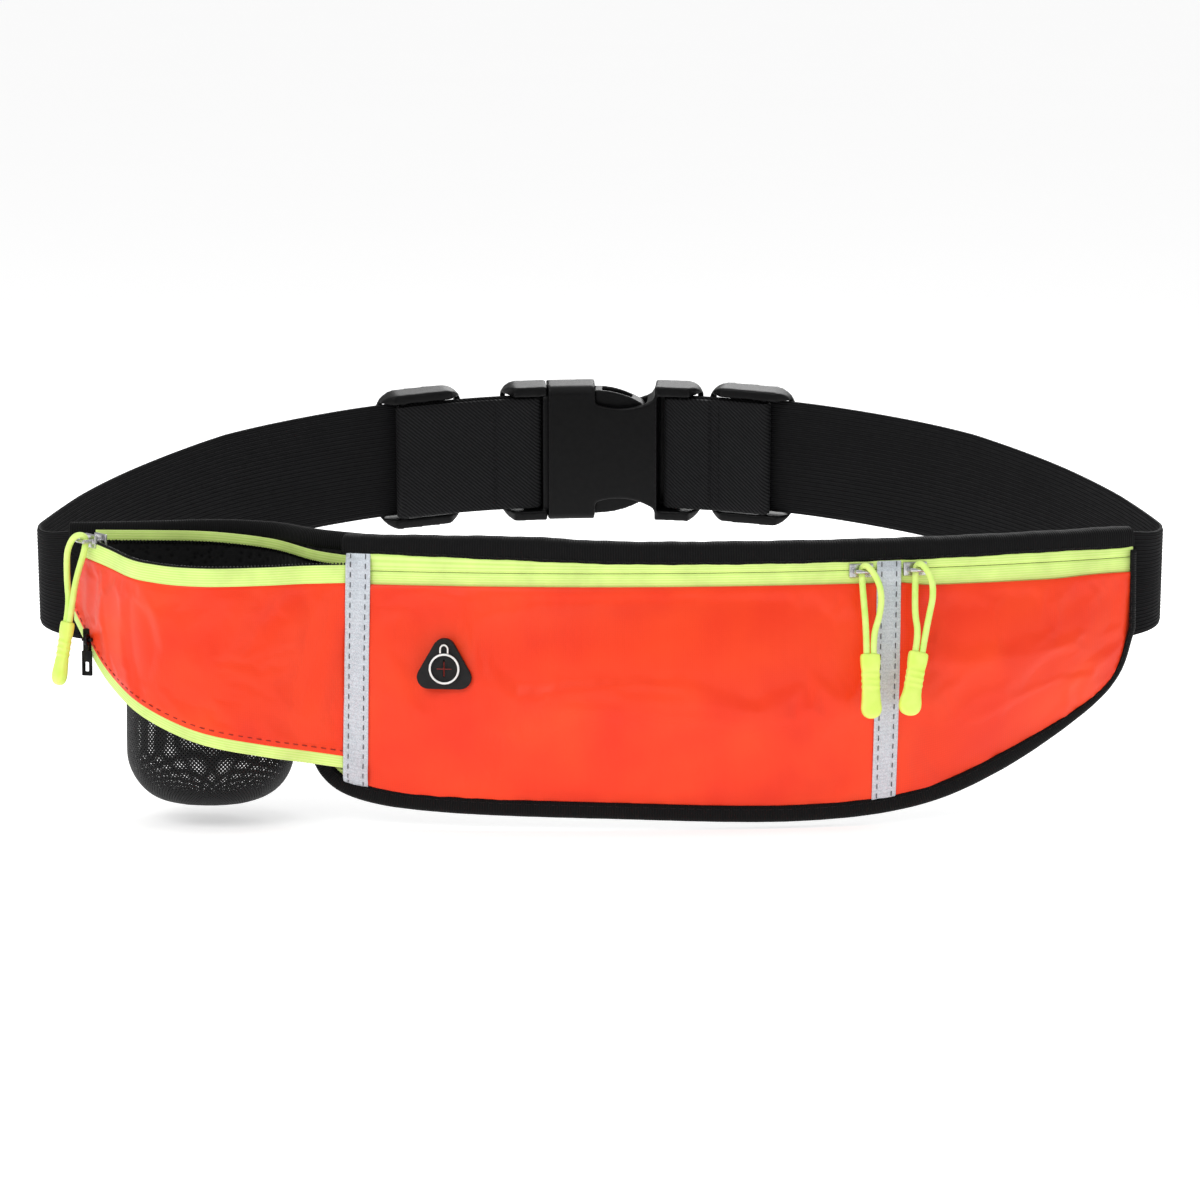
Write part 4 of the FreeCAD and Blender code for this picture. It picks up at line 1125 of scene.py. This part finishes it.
def build_pocket():
    places = places_at(mouth_place, 0.055, 1.0, 150)
    tape("pocket_front_tape", places, lipped(MOUTH_TAPE, -0.4, 0.9, 0.75), "pocket_zip_front_tape")
    places = places_at(mouth_place, 0.08, 0.985, 400)
    coil("pocket_front_coil", places, -0.35, MOUTH_TAPE - 0.1, "pocket_zip_front_coil")

    line = [p for p in REAR_WALL[0] if -182 < p.x < -86]
    on_rear = partial(rear_place, (line, sides(line)))
    section = lipped(0.0, REAR_TAPE_W, 0.95, 0.75)
    tape("pocket_rear_tape", places_at(on_rear, 0.0, 1.0, 90), section, "pocket_zip_rear_tape")
    coil("pocket_rear_coil", places_at(on_rear, 0.02, 0.98, 300), 0.2, 0.0)

    places = places_at(drop_place, 0, 1, 150)
    tape("drop_tape", places, lipped(0.1, DROP_TAPE + 0.3, 1.05, 0.8), "drop_zip_tape")
    line = [place(1.42, DROP_TAPE + 1.7) for place in places]
    sew("pocket_stitches", [line], (3.4, 2.0, 0.1), 0.17, 5, "coated_fabric", red_thread)
    coil("drop_coil", places_at(drop_place, 0.02, 0.98, 300), -0.4, 0.75, "drop_zip_coil")

    rows = []
    for x in steps(-101.0, -84.0, 24):
        low = at_x(DROP, x).z - 1.0
        section = lipped(low, low - 1.0 - 3.2 * ease((x + 101) / 8), 1.0, 0.8)
        rows.append([front_at(x, 397.2 + out, z) for out, z in section])
    finish(sweep("drop_lower_tape", rows), "zip_tape", neon_tape)


NET_AROUND, NET_PITCH, NET_HOLE = 120, 0.8, 0.46
FILLET, NET_TOP, NET_BOTTOM = 18.0, PANEL_TOP_Z, -72.6


def net_rings():
    """(radius, height) down the pouch's side, round its fillet and in under it."""
    straight = NET_TOP - NET_BOTTOM - FILLET
    arc = FILLET * math.pi / 2
    rings = []
    travelled = 0.0
    while travelled < straight + arc + 5:
        if travelled <= straight:
            rings.append((SLEEVE_R, NET_TOP - travelled))
        elif travelled <= straight + arc:
            a = (travelled - straight) / FILLET
            rings.append((SLEEVE_R - FILLET * (1 - math.cos(a)), NET_BOTTOM + FILLET * (1 - math.sin(a))))
        else:
            rings.append((SLEEVE_R - FILLET - (travelled - straight - arc), NET_BOTTOM))
        travelled += NET_PITCH
    return rings


def net_mesh():
    """Diamonds of thin nylon round a pouch, each with a hole."""
    rings = net_rings()
    verts = []
    for i, (radius, z) in enumerate(rings):
        for j in range(NET_AROUND):
            a = math.tau * (j + 0.5 * (i % 2)) / NET_AROUND
            sag = 0.25 * math.sin(3 * a + z * 0.09) + 0.15 * math.sin(7 * a - z * 0.2)
            r = radius - abs(sag)
            verts.append(V((BOTTLE_X + r * math.cos(a), BOTTLE_Y + r * math.sin(a), z)) * MM)
    faces = []
    for i in range(len(rings) - 2):
        row, below, under = (k * NET_AROUND for k in (i, i + 1, i + 2))
        for j in range(NET_AROUND):
            left = (j - 1) % NET_AROUND if i % 2 == 0 else j
            right = j if i % 2 == 0 else (j + 1) % NET_AROUND
            outer = [row + j, below + left, under + j, below + right]
            centre = sum((verts[k] for k in outer), V()) / 4
            first = len(verts)
            verts += [centre.lerp(verts[k], NET_HOLE) for k in outer]
            for k in range(4):
                n = (k + 1) % 4
                faces.append((outer[k], outer[n], first + n, first + k))
    mesh = bpy.data.meshes.new("bottle_net")
    mesh.from_pydata(verts, [], faces)
    return mesh


def circle(radius, z, count):
    """Points round the bottle's axis."""
    middle = V((BOTTLE_X, BOTTLE_Y, z))
    turns = steps(0, math.tau, count + 1)[:-1]
    return [middle + V((radius * math.cos(a), radius * math.sin(a), 0)) for a in turns]


def build_net():
    net = add_object("bottle_net", net_mesh())
    apply_modifiers(thicken(net, 0.16, 0.0))
    finish(net, "net", net_look, "bottle_sleeve")
    rows = [circle(radius, NET_BOTTOM, 40) for radius in steps(0.3, SLEEVE_R - FILLET - 3.6, 8)]
    base = thicken(grid("bottle_net_base", rows, closed=True), 0.5, 0.0)
    finish(apply_modifiers(base), "net", net_look)
    hem = [(-0.35, 0.0), (0.0, 0.4), (0.35, 0.0), (0.3, -2.6), (-0.3, -2.6)]
    hem_rings = [circle(SLEEVE_R + out, NET_TOP + rise, 120) for out, rise in hem]
    rim = grid("bottle_net_hem", [list(row) for row in zip(*hem_rings)], closed=True, ring=True)
    finish(rim, "net", lining)


# ---- the belt --------------------------------------------------------------------

LOOP_RHO, LOOP_MID, LOOP_T = -3.8, 1.85, 1.45
LEFT_BAR, LEFT_BUCKLE_BAR, RIGHT_BUCKLE_BAR, RIGHT_BAR = -78.0, -25.5, 27.5, 64.5
BEND_V, BEND_R = 22.0, 9.0
RIBS, PER_RIB = 27, 4
WIDTHS = [(-40, 22.5, 22.5), (140, 22.5, 22.5), (190, 19.5, 21.5), (215, 16, 16), (240, 16, 16)]


def widths_at(u):
    """The strap's half widths, above and below its middle line."""
    for (u0, a0, b0), (u1, a1, b1) in zip(WIDTHS, WIDTHS[1:]):
        if u <= u1:
            t = max(0.0, (u - u0) / (u1 - u0))
            return mix(a0, a1, t), mix(b0, b1, t)
    return WIDTHS[-1][1:]


def strap_path(s_in):
    """The strap's middle line in the belt's plane: (u, v, heading) every half millimetre."""
    turn = math.acos((BEND_V - BELT_CV) / BELT_R) - s_in / BELT_R
    u, v = BELT_R * math.sin(s_in / BELT_R), BELT_CV + BELT_R * math.cos(s_in / BELT_R)
    heading = -s_in / BELT_R
    runs = [(turn * BELT_R, 1 / BELT_R), (math.radians(100) * BEND_R, 1 / BEND_R), (9.0, 0.0)]
    out = [(u, v, heading)]
    for length, bend in runs:
        count = max(2, round(length / 0.5))
        step = length / count
        for _ in range(count):
            heading -= bend * step / 2
            u, v = u + math.cos(heading) * step, v + math.sin(heading) * step
            heading -= bend * step / 2
            out.append((u, v, heading))
    return out


def strap_ring(side, station, wave):
    """A strap's ribbed section, once round both faces."""
    u, v, heading = station
    high, low = widths_at(u)
    out = (-math.sin(heading), math.cos(heading))
    ring = []
    for face in (1, -1):
        count = RIBS * PER_RIB
        for k in range(count + 1):
            share = k / count if face > 0 else 1 - k / count
            edge = min(1.0, min(share, 1 - share) * 60)
            rho = face * (0.35 + 0.37 * edge + 0.13 * math.cos(k / PER_RIB * math.tau)) + wave * 0.4
            ring.append(from_belt_plane(side * (u + out[0] * rho), v + out[1] * rho, mix(-low, high, share)))
    return ring


def build_straps():
    for side, s_in, name in ((1, RIGHT_BAR - 2, "right"), (-1, -LEFT_BAR - 2, "left")):
        path = strap_path(s_in)
        rows = []
        for i, station in enumerate(path[::4] + [path[-1]]):
            rows.append(strap_ring(side, station, 0.25 * math.sin(i * 0.21) * min(1.0, i / 10)))
        strap = sweep(f"{name}_elastic", rows)
        finish(strap, "elastic", elastic_look, f"{name}_strap")


def racetrack(s0, s1, radius, count=70, turns=14):
    """(s, rho, the direction out) once round two bars."""
    out = []
    for here, there, up in ((s0, s1, 1), (s1, s0, -1)):
        for i in range(count):
            out.append((mix(here, there, i / count), LOOP_RHO + up * radius, (0, up)))
        for i in range(turns):
            a = up * math.pi / 2 - math.pi * i / turns
            ds, dr = math.cos(a), math.sin(a)
            out.append((there + radius * ds, LOOP_RHO + radius * dr, (ds, dr)))
    return out


def doubled(s, hem, bar):
    """Extra thickness where the webbing's sewn end lies over it, between its hem and the buckle's bar."""
    share = (s - hem) / (bar - hem)
    reach = abs(bar - hem)
    return 0.55 * ease(share * reach / 0.8) * ease((1 - share) * reach / 2.5)


def webbing_section():
    """The webbing's section: (w, lift off its middle), with thin rounded edges."""
    half, thick = BELT_HALF_W, LOOP_T / 2
    section = [(-half + 0.1, 0.0), (-half + 0.5, thick * 0.8)]
    section += [(w, thick) for w in steps(-half + 1.2, half - 1.2, 14)]
    section += [(half - 0.5, thick * 0.8), (half - 0.1, 0.0), (half - 0.5, -thick * 0.8)]
    section += [(w, -thick) for w in steps(half - 1.2, -half + 1.2, 14)]
    return section + [(-half + 0.5, -thick * 0.8)]


def build_loop(name, s0, s1, hem, bar):
    """A webbing loop round two bars, with its sewn hem on the wearer's side."""
    body = f"{name}_belt_end"
    rows = []
    for s, rho, (ds, dr) in racetrack(s0, s1, LOOP_MID):
        extra = doubled(s, hem, bar) if dr == -1 else 0.0
        row = []
        for w, lift in webbing_section():
            lift += extra if lift > 0 else 0.0
            row.append(belt(s + ds * lift, rho + dr * lift, w))
        rows.append(row)
    loop = grid(f"{name}_webbing", rows, closed=True, ring=True)
    finish(loop, "webbing", twill_look, f"{name}_webbing_loop", body=body)
    inner = LOOP_RHO - LOOP_MID - LOOP_T / 2
    paths = []
    for s in (hem, hem + 3.2):
        line = [belt(s, inner - 0.02, w) for w in steps(-BELT_HALF_W + 2, BELT_HALF_W - 2, 60)]
        paths += dashes(line, belt(s, inner - 1, 0) - belt(s, inner, 0), 2.6, 1.8, 0.16)
    stitches = tube_mesh(f"{name}_webbing_stitches", paths, 0.2, 5)
    finish(stitches, "webbing", black_thread, body=body)


def build_belt_ends():
    build_loop("left", LEFT_BAR, LEFT_BUCKLE_BAR, -41.5, LEFT_BUCKLE_BAR)
    build_loop("right", RIGHT_BUCKLE_BAR, RIGHT_BAR, 43.5, RIGHT_BUCKLE_BAR)
    # node: its body, the melt's voxel size and its rounds
    mouldings = {
        "left_triglide": ("left_belt_end", 0.55, 7),
        "right_triglide": ("right_belt_end", 0.55, 7),
        "buckle_female": ("right_belt_end", 0.5, 6),
        "buckle_male": ("left_belt_end", 0.5, 6),
        "upper_release_arm": ("upper_release_arm", 0.4, 5),
        "lower_release_arm": ("lower_release_arm", 0.4, 5),
    }
    for node, (body, voxel, rounds) in mouldings.items():
        cast(node, voxel, rounds, f"{node}_moulding", "buckle_plastic", plastic, body)


# ---- the earphone port ---------------------------------------------------------


def build_port():
    cast("earphone_port", 0.22, 5, "port_moulding", "black_rubber", rubber)
    low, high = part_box("earphone_port")
    turn = Matrix.Rotation(math.asin(-53.7 / FRONT_R), 4, "Z")
    face = Matrix.Translation(V(((low.x + high.x) / 2 / MM, low.y / MM, -21.0))) @ turn

    def on_face(across, up, out):
        return face @ V((across, -out, up))

    ring_radius, rows = 5.1, []
    for i in range(72):
        a = math.tau * i / 72
        row = []
        for dr, out in ((-0.34, -0.25), (-0.34, 0.12), (0.34, 0.12), (0.34, -0.25)):
            r = ring_radius + dr
            row.append(on_face(r * math.cos(a), r * math.sin(a), out))
        rows.append(row)
    finish(grid("port_ring", rows, closed=True, ring=True), "black_rubber", white_mark)
    loop = [on_face(1.35 * math.cos(a), 6.9 + 1.6 * math.sin(a), 0.15) for a in steps(0, math.pi, 22)]
    loop = [on_face(1.35, 5.6, 0.15)] + loop + [on_face(-1.35, 5.6, 0.15)]
    finish(tube_mesh("port_loop", [loop], 0.3, 8), "black_rubber", white_mark)
    arms = [(0.0, 2.6), (2.6, 0.0)]
    slits = [[on_face(x * end, z * end, 0.06) for end in (-1, 0, 1)] for x, z in arms]
    finish(tube_mesh("port_slits", slits, 0.13, 6), "black_rubber", red_thread)


# ---- everything ------------------------------------------------------------------


def finish_kept_nodes():
    """The two sewn walls inside keep their CAD shapes."""
    for side in ("left", "right"):
        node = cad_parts[f"{side}_divider"]
        node.data.materials.clear()
        node.data.materials.append(inner_wall)


build_camera()
build_floor()
build_lights()
build_panels()
build_pulls()
build_zips()
build_strips()
build_back()
build_bottom_binding()
build_upper_bindings()
build_pocket()
build_net()
build_straps()
build_belt_ends()
build_port()
finish_kept_nodes()
